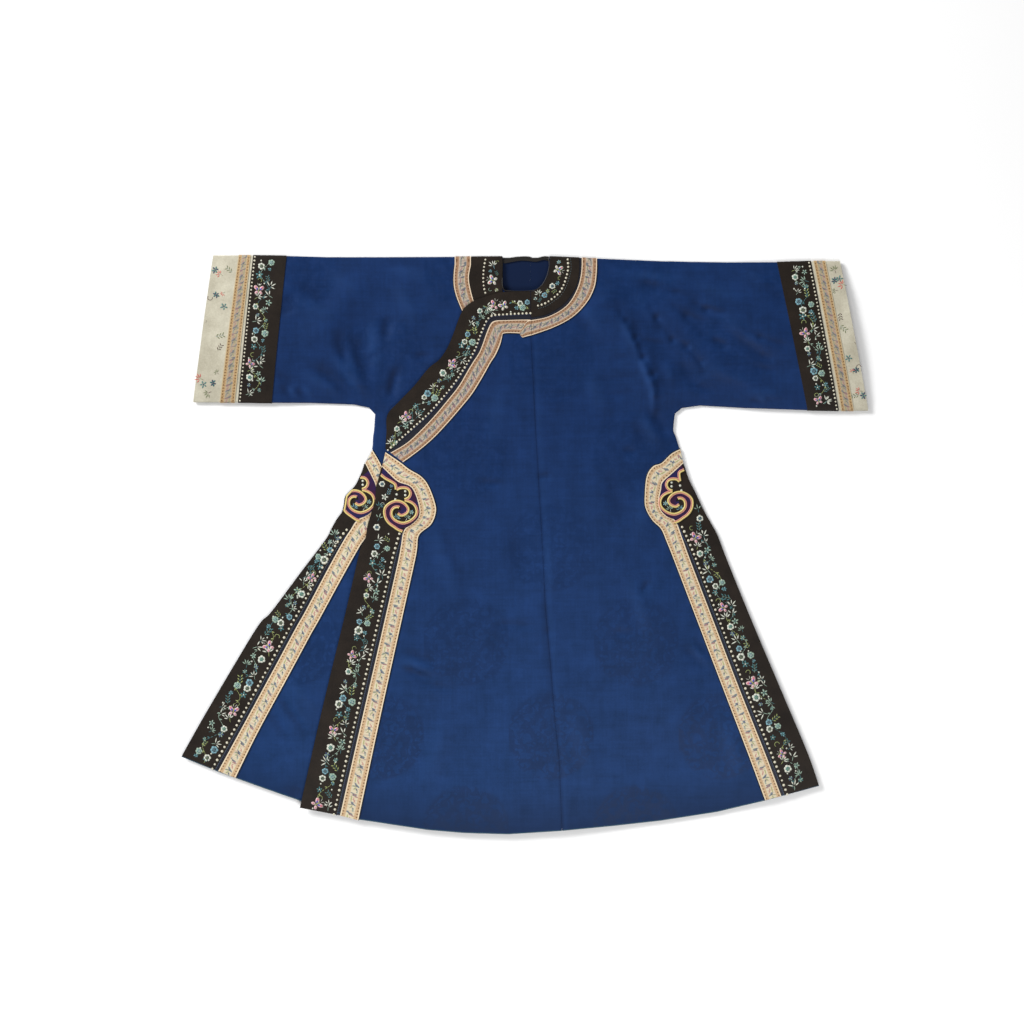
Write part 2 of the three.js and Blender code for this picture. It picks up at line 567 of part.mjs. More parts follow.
// band and ribbon along the overlap's diagonal
const OVERLAP_TRIM = [
  { ex: 10.7, ey: 484, gx: 10.7, gy: 443, nx: 10.7, ny: 430, rx: 10.7, ry: 400 },
  { ex: -12, ey: 484, gx: -12, gy: 442, nx: -8, ny: 430, rx: -12, ry: 404 },
  { ex: -44, ey: 483, gx: -44, gy: 440, nx: -38, ny: 429, rx: -40, ry: 404 },
  { ex: -77, ey: 474, gx: -63, gy: 438, nx: -57, ny: 428, rx: -44, ry: 397 },
  { ex: -99, ey: 466, gx: -73, gy: 430, nx: -66, ny: 422, rx: -47, ry: 385 },
  { ex: -117, ey: 452, gx: -80, gy: 414, nx: -74, ny: 404, rx: -52, ry: 372 },
  { ex: -127, ey: 432, gx: -87, gy: 396, nx: -81, ny: 384, rx: -58, ry: 360 },
  { ex: -136, ey: 407, gx: -95, gy: 375, nx: -88, ny: 367, rx: -66, ry: 348 },
  { ex: -148, ey: 378, gx: -106, gy: 355, nx: -99, ny: 350, rx: -76, ry: 330 },
  { ex: -164, ey: 354, gx: -117, gy: 337, nx: -110, ny: 332, rx: -87, ry: 311 },
  { ex: -185, ey: 337, gx: -134, gy: 311, nx: -127, ny: 303, rx: -103, ry: 286 },
  { ex: -212, ey: 304, gx: -158, gy: 281, nx: -149, ny: 275, rx: -125, ry: 259 },
  { ex: -240, ey: 275, gx: -184, gy: 252, nx: -176, ny: 243, rx: -152, ry: 228 },
  { ex: -264, ey: 248, gx: -211, gy: 227, nx: -205, ny: 213, rx: -178, ry: 201 },
  { ex: -266, ey: 214, gx: -236, gy: 205, nx: -229, ny: 192, rx: -204, ry: 179 },
  { ex: -268, ey: 182, gx: -262, gy: 182, nx: -258, ny: 175, rx: -234, ry: 157 },
];
root.add(strip("overlap_band", BAND, OVERLAP_TRIM.map((r) => [r.ex, r.ey, r.gx, r.gy]), overlapZ, { cols: 3 }));
root.add(strip("overlap_ribbon", RIBBON, OVERLAP_TRIM.map((r) => [r.nx, r.ny, r.rx, r.ry]), overlapZ, { cols: 2 }));

// yoke round the neck: black band then ribbon, from the shoulder fold to the overlap
const YOKE_LEFT = [
  { ex: 47.5, ey: 536, gx: 101, gy: 536, nx: 109, ny: 536, rx: 138, ry: 536 },
  { ex: 45, ey: 520, gx: 100, gy: 516, nx: 107, ny: 515, rx: 137, ry: 516 },
  { ex: 40, ey: 506, gx: 95, gy: 494, nx: 101, ny: 492, rx: 133, ry: 492 },
  { ex: 33, ey: 496, gx: 84, gy: 472, nx: 88, ny: 467, rx: 119, ry: 464 },
  { ex: 25, ey: 489, gx: 67, gy: 455, nx: 71, ny: 450, rx: 92, ry: 436 },
  { ex: 17, ey: 485.5, gx: 40, gy: 440, nx: 42, ny: 435, rx: 56, ry: 416 },
  { ex: 11.3, ey: 484, gx: 11.3, gy: 435, nx: 11.3, ny: 429, rx: 11.3, ry: 400 },
];
root.add(strip("yoke_band_left", BAND, YOKE_LEFT.map((r) => [r.ex, r.ey, r.gx, r.gy]), leftZ, { cols: 3, wrap: true }));
root.add(strip("yoke_ribbon_left", RIBBON, YOKE_LEFT.map((r) => [r.nx, r.ny, r.rx, r.ry]), leftZ, { cols: 2, wrap: true }));
const YOKE_RIGHT = [
  { ex: -43.5, ey: 536, gx: -103, gy: 536, nx: -104, ny: 536, rx: -135, ry: 536 },
  { ex: -44, ey: 517, gx: -107, gy: 512, nx: -108, ny: 512, rx: -137, ry: 513 },
  { ex: -44, ey: 498, gx: -104, gy: 490, nx: -105, ny: 490, rx: -136, ry: 492 },
  { ex: -43, ey: 480, gx: -97, gy: 466, nx: -98, ny: 465, rx: -130, ry: 470 },
  { ex: -38, ey: 468, gx: -88, gy: 448, nx: -89, ny: 447, rx: -120, ry: 446 },
];
root.add(strip("yoke_band_right", BAND, YOKE_RIGHT.map((r) => [r.ex, r.ey, r.gx, r.gy]), innerZ, { cols: 3, wrap: true, thick: 0.8 }));
root.add(strip("yoke_ribbon_right", RIBBON, YOKE_RIGHT.map((r) => [r.nx, r.ny, r.rx, r.ry]), innerZ, { cols: 2, wrap: true, thick: 0.8 }));

// ---- cuffs: rings round the sleeve ends ---------------------------------------------------------------------------
function cuffRing(name, look, table, fromAt, toAt, start, stop, from, to, zAt) {
  const a = table.find((r) => r.at === fromAt);
  const b = table.find((r) => r.at === toAt);
  const pick = (t) => ({ top: mix({ x: a.topX, y: a.topY }, { x: b.topX, y: b.topY }, t),
    bot: mix({ x: a.botX, y: a.botY }, { x: b.botX, y: b.botY }, t) });
  const stations = [start, (start + stop) / 2, stop].map((t) => ringParts(pick(t), zAt));
  const patches = ["front", "lowBulge", "back", "topBulge"].map((key) => stations.map((s) => s[key]));
  return sheet(name, look, patches, from, to);
}
for (const [tag, table, zAt] of [["left", SLEEVE_L, leftZ], ["right", SLEEVE_R, innerZ]]) {
  const face = WALL + GAP;
  root.add(cuffRing(`cuff_band_${tag}`, BAND, table, "band", "ribbon", 0, 1 - SEAM / 60, face, face + TRIM, zAt));
  root.add(cuffRing(`cuff_ribbon_${tag}`, RIBBON, table, "ribbon", "cuff", 0, 1, face, face + TRIM, zAt));
  root.add(cuffRing(`cuff_satin_${tag}`, SATIN, table, "ribbon", "end", CLOTH_END + SEAM / 50, 1, 0, WALL, zAt));
}

// ---- purple scrolls of the ruyi heads ------------------------------------------------------------------------------
// two scallops from the slit's edge, then a ring that winds in on itself; sizes from the ring's centre
const SCALLOPS = [
  { x: 34, y: 77, half: 3.4 },
  { x: 19, y: 62, half: 4 },
  { x: 3, y: 48, half: 4 },
  { x: -6, y: 43.5, half: 4 },
  { x: -17, y: 42, half: 4 },
  { x: -25.5, y: 34, half: 4 },
  { x: -27, y: 25, half: 4 },
];
function scroll(name, cx, cy, sx, zAt, skip = 0) {
  const line = SCALLOPS.slice(skip).map((p) => ({ ...p }));
  const steps = 24;
  for (let i = 0; i <= steps; i += 1) {
    const t = i / steps;
    const a = 2.5 + 9.1 * t;
    const r = lerp(31, 5, t ** 1.35);
    line.push({ x: Math.cos(a) * r, y: Math.sin(a) * r, half: lerp(4.2, 3, t) });
  }
  const rows = line.map((p, i) => {
    const q = line[Math.max(0, i - 1)];
    const n = line[Math.min(line.length - 1, i + 1)];
    const long = Math.hypot(n.x - q.x, n.y - q.y);
    const ox = (-(n.y - q.y) / long) * p.half;
    const oy = ((n.x - q.x) / long) * p.half;
    return [cx + sx * (p.x + ox), cy + p.y + oy, cx + sx * (p.x - ox), cy + p.y - oy];
  });
  return strip(name, PURPLE, rows, zAt, { cols: 1, step: 99, level: TRIM + SEAM, thick: 0.8 });
}
root.add(scroll("scroll_left", 290, 81, 1, leftZ, 3));
root.add(scroll("scroll_front", -238, 64, -1, overlapZ));
root.add(scroll("scroll_right", -320, 84, -1, innerZ, 3));

// ---- neck binding ---------------------------------------------------------------------------------------------------
function neckBinding() {
  const r = 1.4;
  const path = [];
  const front = curve(pts([-41, 541], [-41.5, 517], [-40, 492], [-30, 487.4], [11, 487.4], [27, 494], [38, 509.5], [44, 530],
    [44.2, 541]));
  const step = (p) => lerp(overlapZ(p.x, p.y), innerZ(p.x, p.y), ease(486, 520, p.y) * ease(20, -20, p.x));
  front.forEach((p) => path.push([p.x, p.y, step(p) + WALL]));
  path.push([43.6, 548, 5.5], [36, 549, 3.6], [12, 549, 3.3], [-12, 549, 3.3], [-34, 549, 3.4], [-40.6, 548, 3.7]);
  const sides = 6;
  const points = [];
  const triangles = [];
  const n = path.length;
  path.forEach((p, i) => {
    const a = path[(i + n - 1) % n];
    const b = path[(i + 1) % n];
    const along3 = new THREE.Vector3(b[0] - a[0], b[1] - a[1], b[2] - a[2]).normalize();
    const across = new THREE.Vector3(0, 0, 1).cross(along3).normalize();
    const up = along3.clone().cross(across);
    for (let k = 0; k < sides; k += 1) {
      const w = (2 * Math.PI * k) / sides;
      const q = across.clone().multiplyScalar(r * Math.cos(w)).add(up.clone().multiplyScalar(r * Math.sin(w)));
      points.push([p[0] + q.x, p[1] + q.y, p[2] + q.z]);
      const m = (k + 1) % sides;
      const next = ((i + 1) % n) * sides;
      triangles.push([i * sides + k, i * sides + m, next + m], [i * sides + k, next + m, next + k]);
    }
  });
  return mesh("neck_binding", BAND, points, triangles);
}
root.add(neckBinding());

export default root;
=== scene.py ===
# %% [markdown]
# A woman's side-fastening silk robe, laid flat with its front up. The frame brings in the solids that carry
# the robe's sizes; every piece made below lies on those solids and takes the place of one of them.

import math
import random

import bpy
import numpy as np
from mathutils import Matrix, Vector


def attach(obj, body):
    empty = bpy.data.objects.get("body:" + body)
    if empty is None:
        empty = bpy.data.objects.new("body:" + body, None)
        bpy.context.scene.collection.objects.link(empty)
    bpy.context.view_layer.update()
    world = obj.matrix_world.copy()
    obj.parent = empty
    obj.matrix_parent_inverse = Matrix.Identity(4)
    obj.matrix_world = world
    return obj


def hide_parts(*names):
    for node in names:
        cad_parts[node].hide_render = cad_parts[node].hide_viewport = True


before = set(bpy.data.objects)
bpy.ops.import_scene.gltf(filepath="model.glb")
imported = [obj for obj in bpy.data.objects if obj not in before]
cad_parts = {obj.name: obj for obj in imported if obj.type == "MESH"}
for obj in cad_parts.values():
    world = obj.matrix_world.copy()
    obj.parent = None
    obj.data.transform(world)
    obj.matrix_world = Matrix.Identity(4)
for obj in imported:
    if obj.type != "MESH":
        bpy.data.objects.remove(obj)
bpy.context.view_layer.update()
MM = 0.001

# %% [markdown]
# A flat garment is best seen from straight above. A long lens far away keeps the sleeves' ends from leaning.
# The lens looks down its own -Z, so an unturned camera already looks at the table with +Y up the picture.

# %% Camera
VIEW_WIDTH = 1.9692
LENS = 85.0
camera = bpy.data.objects.new("camera", bpy.data.cameras.new("camera"))
camera.data.lens = LENS
camera.data.sensor_width = 36.0
camera.location = (-0.0250, 0.0613, VIEW_WIDTH * LENS / 36.0)
camera.data.clip_end = 50.0
bpy.context.scene.collection.objects.link(camera)
bpy.context.scene.camera = camera
bpy.context.scene.view_settings.view_transform = "Standard"

# %% [markdown]
# The table is plain and almost white. A broad lamp beyond the collar rakes down the cloth, so that a fold
# has a bright side and a dim side, and the world's even light fills the rest.

# %% Table and light
# the table stops just short of the cloth, so that the two faces do not meet
TABLE_TOP = -0.0004
bpy.ops.mesh.primitive_plane_add(size=14.0, location=(0, 0, TABLE_TOP))
table = bpy.context.object
table.name = "table"
table_paint = bpy.data.materials.new("table_paint")
table_paint.use_nodes = True
table_paint.node_tree.nodes["Principled BSDF"].inputs["Base Color"].default_value = (0.93, 0.93, 0.93, 1)
table_paint.node_tree.nodes["Principled BSDF"].inputs["Roughness"].default_value = 0.9
table.data.materials.append(table_paint)

world = bpy.data.worlds.new("studio")
world.use_nodes = True
world.node_tree.nodes["Background"].inputs["Color"].default_value = (1, 1, 1, 1)
world.node_tree.nodes["Background"].inputs["Strength"].default_value = 0.32
bpy.context.scene.world = world


def lamp(name, place, aim, size, power):
    light = bpy.data.lights.new(name, "AREA")
    light.shape = "RECTANGLE"
    light.size, light.size_y = size
    light.energy = power
    holder = bpy.data.objects.new(name, light)
    holder.location = place
    holder.rotation_euler = (Vector(aim) - Vector(place)).to_track_quat("-Z", "Y").to_euler()
    bpy.context.scene.collection.objects.link(holder)


lamp("window", (-4.9, 3.9, 3.1), (0, 0, 0), (3.4, 2.2), 660)
lamp("fill", (0.4, -1.6, 2.6), (0, -0.3, 0), (2.0, 1.6), 46)

# %% [markdown]
# Everything follows one height: how far the robe's front stands above the table at each place. These
# outlines and sizes repeat the ones the solids were built from, in millimetres, so each new piece lies on
# its own solid.

# %% Sizes and outlines
# how thick the lined silk and the strips are
WALL = 1.5
TRIM = 0.9
# how high the front lies where it is flat, and how much higher the overlap lies on it
REST = 2.4
OVER = 4.4
# how far the front rises over the air in the sleeves and the body, and the cuffs over the turned-back satin
SLEEVE_LOFT = 9.5
BODY_LOFT = 6.5
CUFF_LIFT = 2.6
HEM = np.array([(-660, -408), (-588, -437), (-499, -469), (-433, -492), (-320, -528), (-188, -548),
                (-117, -554), (-33, -556.5), (71, -550), (167, -541), (260, -531), (369, -514),
                (461, -492), (565, -464)], float)
CENTRE_SEAM = np.array([(11, 484), (11, 402), (22, 190), (35, -31), (39, -119), (50, -244), (57, -333),
                        (66, -421), (71, -550)], float)
# station lines across each sleeve: top x, top y, bottom x, bottom y
SLEEVE_LEFT = {"underarm": (267, 543, 288, 250), "curve": (283, 543, 301, 261),
               "upper": (317, 542, 336, 266), "middle": (385, 541, 425, 261),
               "band": (484, 541, 542, 257), "ribbon": (550, 543, 603, 256), "cuff": (577, 543, 631, 256),
               "end": (605, 543, 659, 256)}
SLEEVE_RIGHT = {"underarm": (-271, 551, -288, 249), "curve": (-285, 551, -300, 262),
                "upper": (-315, 551, -330, 268), "middle": (-380, 551, -413, 271),
                "band": (-458, 553, -486, 271), "ribbon": (-523, 554, -552, 272),
                "cuff": (-550, 554, -586, 272), "end": (-599, 554, -637, 272)}
SIDE_LEFT = np.array([(288, 250), (285, 219), (290, 205), (298, 178), (305, 154), (312, 129), (328, 97),
                      (342, 67), (353, 44), (365, 31), (388, -31), (413, -92), (438, -154), (463, -216),
                      (490, -277), (515, -339), (542, -400), (565, -464)], float)
SIDE_RIGHT = np.array([(-288, 249), (-290, 219), (-292, 205), (-294, 182), (-305, 166), (-312, 142),
                       (-327, 111), (-345, 92), (-349, 67), (-362, 47), (-384, 7), (-406, -22),
                       (-428, -51), (-457, -90), (-487, -130), (-511, -155), (-535, -195), (-560, -235),
                       (-590, -287), (-621, -339), (-660, -408)], float)
SLIT_ROW = 3
# strips on the cloth: outer edge of the band, inner edge of the band, far edge of the ribbon; x and y of each
SLIT_LEFT = [
    (305, 153, 304, 155, 298, 182), (309, 141, 291, 143, 281, 173), (314, 126, 281, 134, 262, 155),
    (320, 113, 264, 118, 246, 149), (328, 97, 261, 104, 234, 131), (335, 82, 257, 84, 230, 97),
    (342, 67, 260, 66, 231, 70), (350, 52, 272, 53, 244, 46), (358, 38, 289, 44, 261, 29),
    (370, 16, 303, 8, 272, 4), (388, -31, 317, -31, 286, -31), (438, -154, 364, -154, 333, -154),
    (490, -277, 411, -277, 380, -277), (542, -400, 460, -400, 427, -400),
    (564, -463, 492, -484, 461, -492)]
SLIT_FRONT = [
    (-276, 146, -274, 148, -268, 176), (-279, 134, -258, 132, -240, 157),
    (-282, 122, -243, 119, -222, 143), (-285, 113, -221, 111, -200, 130),
    (-286, 107, -211, 97, -186, 113), (-288, 83, -203, 70, -174, 83), (-295, 59, -204, 52, -171, 62),
    (-302, 36, -216, 39, -180, 38), (-306, 12, -232, 26, -203, 18), (-315, -6, -238, -4, -207, -8),
    (-322, -35, -243, -31, -211, -31), (-345, -135, -266, -133, -233, -130),
    (-388, -313, -308, -316, -275, -320), (-432, -506, -355, -521, -320, -530)]
SLIT_RIGHT = [
    (-309, 153, -307, 155, -293, 180), (-313, 140, -297, 135, -281, 160),
    (-320, 124, -288, 116, -270, 137), (-328, 110, -285, 100, -264, 112), (-345, 92, -286, 84, -263, 77),
    (-348, 76, -293, 65, -270, 48), (-352, 61, -306, 54, -286, 32), (-362, 47, -323, 45, -300, 18),
    (-373, 27, -335, 27, -310, 6), (-384, 7, -348, 7, -320, -9), (-428, -51, -380, -51, -352, -66),
    (-487, -130, -422, -130, -395, -145), (-511, -155, -439, -160, -412, -175),
    (-560, -235, -482, -240, -455, -255), (-621, -339, -539, -345, -512, -360),
    (-659, -407, -589, -436, -556, -449)]
OVERLAP_TRIM = [
    (10.5, 484, 10.5, 443, 10.5, 430, 10.5, 400), (-12, 484, -12, 442, -8, 430, -12, 404),
    (-44, 483, -44, 440, -38, 429, -40, 404), (-77, 474, -63, 438, -57, 428, -44, 397),
    (-99, 466, -73, 430, -66, 422, -47, 385), (-117, 452, -80, 414, -74, 404, -52, 372),
    (-127, 432, -87, 396, -81, 384, -58, 360), (-136, 407, -95, 375, -88, 367, -66, 348),
    (-148, 378, -106, 355, -99, 350, -76, 330), (-164, 354, -117, 337, -110, 332, -87, 311),
    (-185, 337, -134, 311, -127, 303, -103, 286), (-212, 304, -158, 281, -149, 275, -125, 259),
    (-240, 275, -184, 252, -176, 243, -152, 228), (-264, 248, -211, 227, -205, 213, -178, 201),
    (-266, 214, -236, 205, -229, 192, -204, 179), (-268, 182, -262, 182, -258, 175, -234, 157)]
YOKE_LEFT = [
    (47.5, 536, 104, 536, 109, 536, 138, 536), (45, 520, 103, 516, 107, 515, 137, 516),
    (40, 506, 97, 493, 101, 492, 133, 492), (33, 496, 84, 472, 88, 467, 119, 464),
    (25, 489, 67, 455, 71, 450, 92, 436), (17, 485.5, 40, 440, 42, 435, 56, 416),
    (11.3, 484, 11.3, 435, 11.3, 429, 11.3, 400)]
YOKE_RIGHT = [
    (-43.5, 536, -103, 536, -104, 536, -135, 536), (-44, 517, -107, 512, -108, 512, -137, 513),
    (-44, 498, -104, 490, -105, 490, -136, 492), (-43, 480, -97, 466, -98, 465, -130, 470),
    (-38, 468, -88, 448, -89, 447, -120, 446)]
LAY_LEFT = np.array([(288, 250), (298, 178), (565, -464)], float)
LAY_RIGHT = np.array([(-288, 249), (-294, 182), (-660, -408)], float)
NECK_LEFT = np.array([(11, 484), (29, 491), (41, 508), (47, 530), (47, 552)], float)
NECK_RIGHT = np.array([(-30, 474), (-42, 488), (-44, 517), (-43, 552)], float)
INNER_EDGE = np.array([(-30, 474), (-32, 300), (-38, 100), (-46, -200), (-55, -553)], float)
OVERLAP_EDGE = np.array([(-44, 483), (-77, 474), (-99, 466), (-117, 452), (-127, 432), (-136, 407),
                         (-148, 378), (-164, 354), (-185, 337), (-212, 304), (-240, 275), (-264, 248),
                         (-269, 177), (-275, 156), (-279, 131), (-286, 107), (-288, 83), (-295, 59),
                         (-302, 36), (-306, 12), (-315, -6), (-345, -135), (-388, -313), (-410, -408),
                         (-422, -460), (-433, -509)], float)

# %% [markdown]
# Silk that has been put away keeps soft creases. Each row is one: where it starts and ends, how wide it is
# and how far it rises, or sinks when the number is negative. The first twelve are in the solids too; the
# rest are finer.

# %% Folds
FOLDS = [
    (170, 455, 262, 285, 30, 3.4), (215, 470, 305, 330, 26, -2.6), (225, 468, 372, 350, 26, 2.6),
    (300, 485, 470, 395, 24, 2.2), (330, 440, 480, 330, 28, -2.2), (-320, 310, -385, 400, 28, 2.6),
    (-330, 350, -300, 440, 30, -2.4), (-230, 400, -330, 470, 30, 2.0), (150, 60, 230, -300, 55, 2.0),
    (-60, 120, -110, -380, 60, -2.2), (245, -120, 300, -330, 34, 2.2),
    (-436, -300, -396, -400, 22, 1.6),
]
CREASES = [
    (188, 436, 220, 373, 8, 2.9), (220, 373, 265, 284, 9, 2.6), (200, 436, 232, 372, 7, -2.0),
    (236, 366, 276, 284, 8, -1.9), (220, 505, 268, 494, 6, -1.6), (218, 512, 270, 502, 7, 1.2),
    (340, 455, 372, 444, 6, -1.5), (338, 462, 378, 450, 7, 1.1), (360, 394, 392, 378, 6, -1.5),
    (358, 402, 396, 384, 7, 1.1), (433, 534, 476, 505, 7, -1.4), (428, 528, 474, 497, 7, 1.1),
    (160, 470, 205, 440, 9, -1.3), (205, 478, 300, 395, 9, 1.3), (235, 462, 330, 372, 8, -1.4),
    (300, 452, 352, 392, 8, -1.3), (318, 500, 430, 462, 8, 1.2), (372, 440, 470, 372, 8, 1.4),
    (392, 408, 478, 345, 7, -1.3), (150, 520, 330, 500, 8, 0.9), (345, 340, 455, 300, 8, 1.2),
    (300, 320, 365, 290, 7, -1.2), (433, 276, 456, 265, 4, -1.5), (446, 282, 481, 264, 4, 1.5),
    (462, 278, 479, 265, 4, -1.4), (420, 292, 500, 283, 6, 1.1), (455, 500, 500, 460, 8, -1.1),
    (110, 455, 150, 400, 10, 1.4), (96, 446, 138, 392, 9, -1.2), (225, 250, 262, 190, 9, 1.6),
    (240, 262, 276, 205, 8, -1.6), (210, 236, 236, 180, 9, -1.0), (-300, 280, -372, 372, 8, 2.3),
    (-318, 272, -398, 350, 8, -2.0), (-292, 300, -330, 400, 9, -2.0), (-280, 330, -292, 430, 9, 1.8),
    (-310, 292, -352, 402, 7, 1.4), (-345, 282, -430, 330, 7, 1.5), (-340, 300, -420, 348, 7, -1.2),
    (-430, 276, -455, 300, 5, 1.6), (-443, 274, -468, 305, 5, -1.6), (-415, 276, -440, 296, 5, -1.5),
    (-402, 276, -424, 300, 5, 1.2), (-200, 420, -250, 500, 10, 1.3), (-170, 500, -260, 530, 8, 1.1),
    (-350, 420, -440, 470, 9, 1.2), (-360, 452, -446, 505, 8, -1.1), (-300, 470, -380, 520, 9, 1.0),
    (-240, -222, -180, -250, 7, 1.9), (-236, -236, -176, -264, 6, -1.9),
    (-228, -206, -172, -232, 7, -1.2), (318, -188, 360, -232, 7, 1.9), (326, -178, 372, -226, 6, -1.8),
    (306, -196, 350, -240, 8, -1.3), (-500, -262, -420, -372, 7, 2.0), (-486, -270, -404, -384, 7, -1.9),
    (-470, -240, -392, -330, 8, 1.5), (-516, -276, -446, -392, 7, -1.4), (-180, 60, -120, -120, 12, 1.3),
    (-166, 64, -104, -120, 10, -1.0), (120, 330, 160, 250, 12, 1.3), (-40, 300, -60, 180, 13, 1.1),
    (200, -60, 240, -180, 11, 1.3), (184, -66, 222, -190, 10, -1.0), (-320, 240, -284, 215, 7, 1.4),
    (90, -300, 130, -460, 13, 1.3), (-150, -330, -190, -470, 13, 1.3), (380, -330, 420, -450, 11, 1.3),
    (240, 120, 216, -10, 12, 1.1), (-20, 60, -10, -80, 14, -0.9), (160, 150, 190, 40, 11, -1.1),
    (-596, 520, -560, 486, 6, 0.9), (-604, 496, -566, 462, 6, -0.9), (-612, 452, -572, 404, 7, 0.9),
    (-622, 380, -580, 342, 6, -0.9), (-628, 330, -590, 300, 6, 0.9), (586, 500, 622, 470, 6, 0.9),
    (590, 470, 628, 434, 6, -0.9), (596, 400, 640, 360, 7, 0.9), (604, 340, 648, 300, 6, -0.9),
    (250, 440, 262, 402, 6, -1.1), (270, 350, 288, 308, 7, 1.3), (300, 350, 330, 310, 7, -1.2),
]
# sharp fold marks: the line of one crease, its width and its height
FINE = [
    (176, 456, 195, 428, 2.8, -0.8), (195, 428, 212, 395, 2.8, -1.1), (212, 395, 228, 357, 2.8, -1.2),
    (228, 357, 247, 325, 2.8, -1.2), (247, 325, 262, 288, 3.0, -1.0), (206, 396, 222, 357, 3.0, 0.8),
    (221, 356, 239, 322, 3.0, 1.1), (240, 322, 247, 286, 3.0, 1.2), (247, 286, 247, 244, 3.0, 0.9),
    (227, 340, 241, 300, 2.6, 0.6), (234, 459, 254, 434, 2.8, -0.9), (254, 434, 285, 392, 2.8, -1.1),
    (285, 392, 311, 379, 3.2, -1.3), (311, 379, 338, 349, 3.2, -1.3), (338, 349, 344, 318, 3.2, -0.6),
    (275, 466, 311, 437, 2.6, -0.7), (311, 437, 357, 424, 2.6, -0.8), (317, 466, 349, 450, 2.8, -1.0),
    (349, 450, 390, 440, 2.8, -0.9), (404, 415, 452, 396, 2.4, -0.7), (452, 396, 512, 376, 2.4, -0.8),
    (217, 494, 292, 482, 2.4, -0.7), (292, 482, 345, 468, 2.4, -0.6), (221, 392, 273, 382, 2.4, -0.9),
    (138, 454, 176, 448, 3.0, -0.6), (356, 396, 390, 376, 2.6, -0.8), (436, 341, 486, 331, 2.6, -0.9),
    (452, 363, 476, 353, 2.4, -0.8), (120, 382, 208, 388, 2.4, -0.35), (160, 352, 208, 360, 2.6, -0.45),
    (118, 314, 228, 322, 2.6, -0.35), (140, 285, 216, 288, 2.8, -0.4), (-360, 411, -341, 341, 5.5, -1.8),
    (-262, 438, -267, 392, 5.0, -1.7), (-243, 345, -260, 276, 4.6, -1.9),
    (-304, 352, -274, 368, 2.6, -0.8), (-473, 459, -441, 474, 2.6, -0.8),
    (-473, 449, -437, 466, 2.6, -0.9), (-473, 439, -433, 457, 2.6, -0.8),
    (-212, 360, -178, 360, 2.6, -0.9), (-480, 330, -440, 300, 4.0, -1.1), (-94, 119, -34, 113, 2.6, -0.8),
    (24, 129, 52, 131, 2.8, -0.9), (-62, -152, 30, -159, 2.4, -0.8), (-222, -262, -124, -281, 2.6, -0.7),
    (188, 181, 216, 174, 3.0, -1.0), (170, -170, 205, -172, 2.4, -0.7), (36, -60, 44, -170, 3.4, -0.5),
    (44, -170, 56, -320, 3.4, -0.5), (47, 26, 52, -110, 6.0, 0.7), (240, -70, 222, -96, 3.0, -0.9),
    (-232, -232, -178, -262, 2.6, -1.1), (-226, -222, -172, -250, 2.6, 0.8),
    (322, -186, 362, -228, 2.6, -1.1), (330, -180, 370, -220, 2.6, 0.8),
    (-494, -270, -412, -380, 3.0, -1.2), (-478, -262, -400, -370, 3.0, 0.9),
]
starts, ends = {row[:2] for row in FINE}, {row[2:4] for row in FINE}
# a crease fades out at both ends, except where the next row carries it on
TAPERED = [(*row, True, True) for row in CREASES]
for x0, y0, x1, y1, wide, high in FINE:
    fades = ((x0, y0) not in ends, (x1, y1) not in starts)
    TAPERED.append((x0, y0, x1, y1, max(4.8, wide * 1.5), high * 1.3, *fades))


def ease(a, b, x):
    t = np.clip((x - a) / (b - a), 0, 1)
    return t * t * (3 - 2 * t)


def ridges(rows, x, y):
    rise = np.zeros_like(x)
    for x0, y0, x1, y1, wide, high, *fades in rows:
        dx, dy = x1 - x0, y1 - y0
        long = math.hypot(dx, dy)
        u = ((x - x0) * dx + (y - y0) * dy) / long
        across = ((x - x0) * dy - (y - y0) * dx) / long
        beyond = np.maximum(np.maximum(-u, u - long), 0)
        one = high * np.exp(-(beyond**2 + across**2) / (2 * wide * wide))
        for fade, far in zip(fades, (u, long - u)):
            one = one * ease(-wide, 0.42 * long, far) if fade else one
        rise += one
    return rise


# %% [markdown]
# The height itself: nothing at the shoulder fold, the underarm and the hem, a few millimetres in between,
# more inside the sleeves. A slow ripple keeps any stretch of silk from being dead flat.

# %% Height of the laid cloth
stations = lambda table, a, b: np.array([(row[a], row[b]) for row in table.values()], float)
SHOULDER = np.vstack([stations(SLEEVE_RIGHT, 0, 1), [(-43, 552), (47, 552)], stations(SLEEVE_LEFT, 0, 1)])
SHOULDER = SHOULDER[np.argsort(SHOULDER[:, 0])]


def along(line, key, value):
    line = line[np.argsort(line[:, key])]
    return np.interp(value, line[:, key], line[:, 1 - key])


def edge_distance(x, y):
    out = np.zeros_like(x)
    for sign, table, lay in ((1, SLEEVE_LEFT, LAY_LEFT), (-1, SLEEVE_RIGHT, LAY_RIGHT)):
        corner = lay[0]
        below = y - along(stations(table, 2, 3), 0, x)
        inside = np.abs(along(lay, 1, y)) - np.abs(x)
        near = np.hypot(y - corner[1], abs(corner[0]) - np.abs(x))
        here = np.where(y <= corner[1], inside, np.where(np.abs(x) >= abs(corner[0]), below, near))
        out = np.where(x * sign > 0, np.maximum(here, 0), out)
    return out


# where creases cross, together they sink and rise no further than this, in millimetres, and the silk never
# falls below this share of its own height
DEEPEST_CREASE = 2.6
HIGHEST_CREASE = 3.4
LEAST_SHARE = 0.35


def from_edges(x, y):
    """How far a place lies from the shoulder fold, from the nearer side and from the hem."""
    x = np.where(x == 0, 1e-6, x)
    fold = np.maximum(0, along(SHOULDER, 0, x) - y)
    hem = np.maximum(0, y - along(HEM, 0, x))
    return fold, edge_distance(x, y), hem


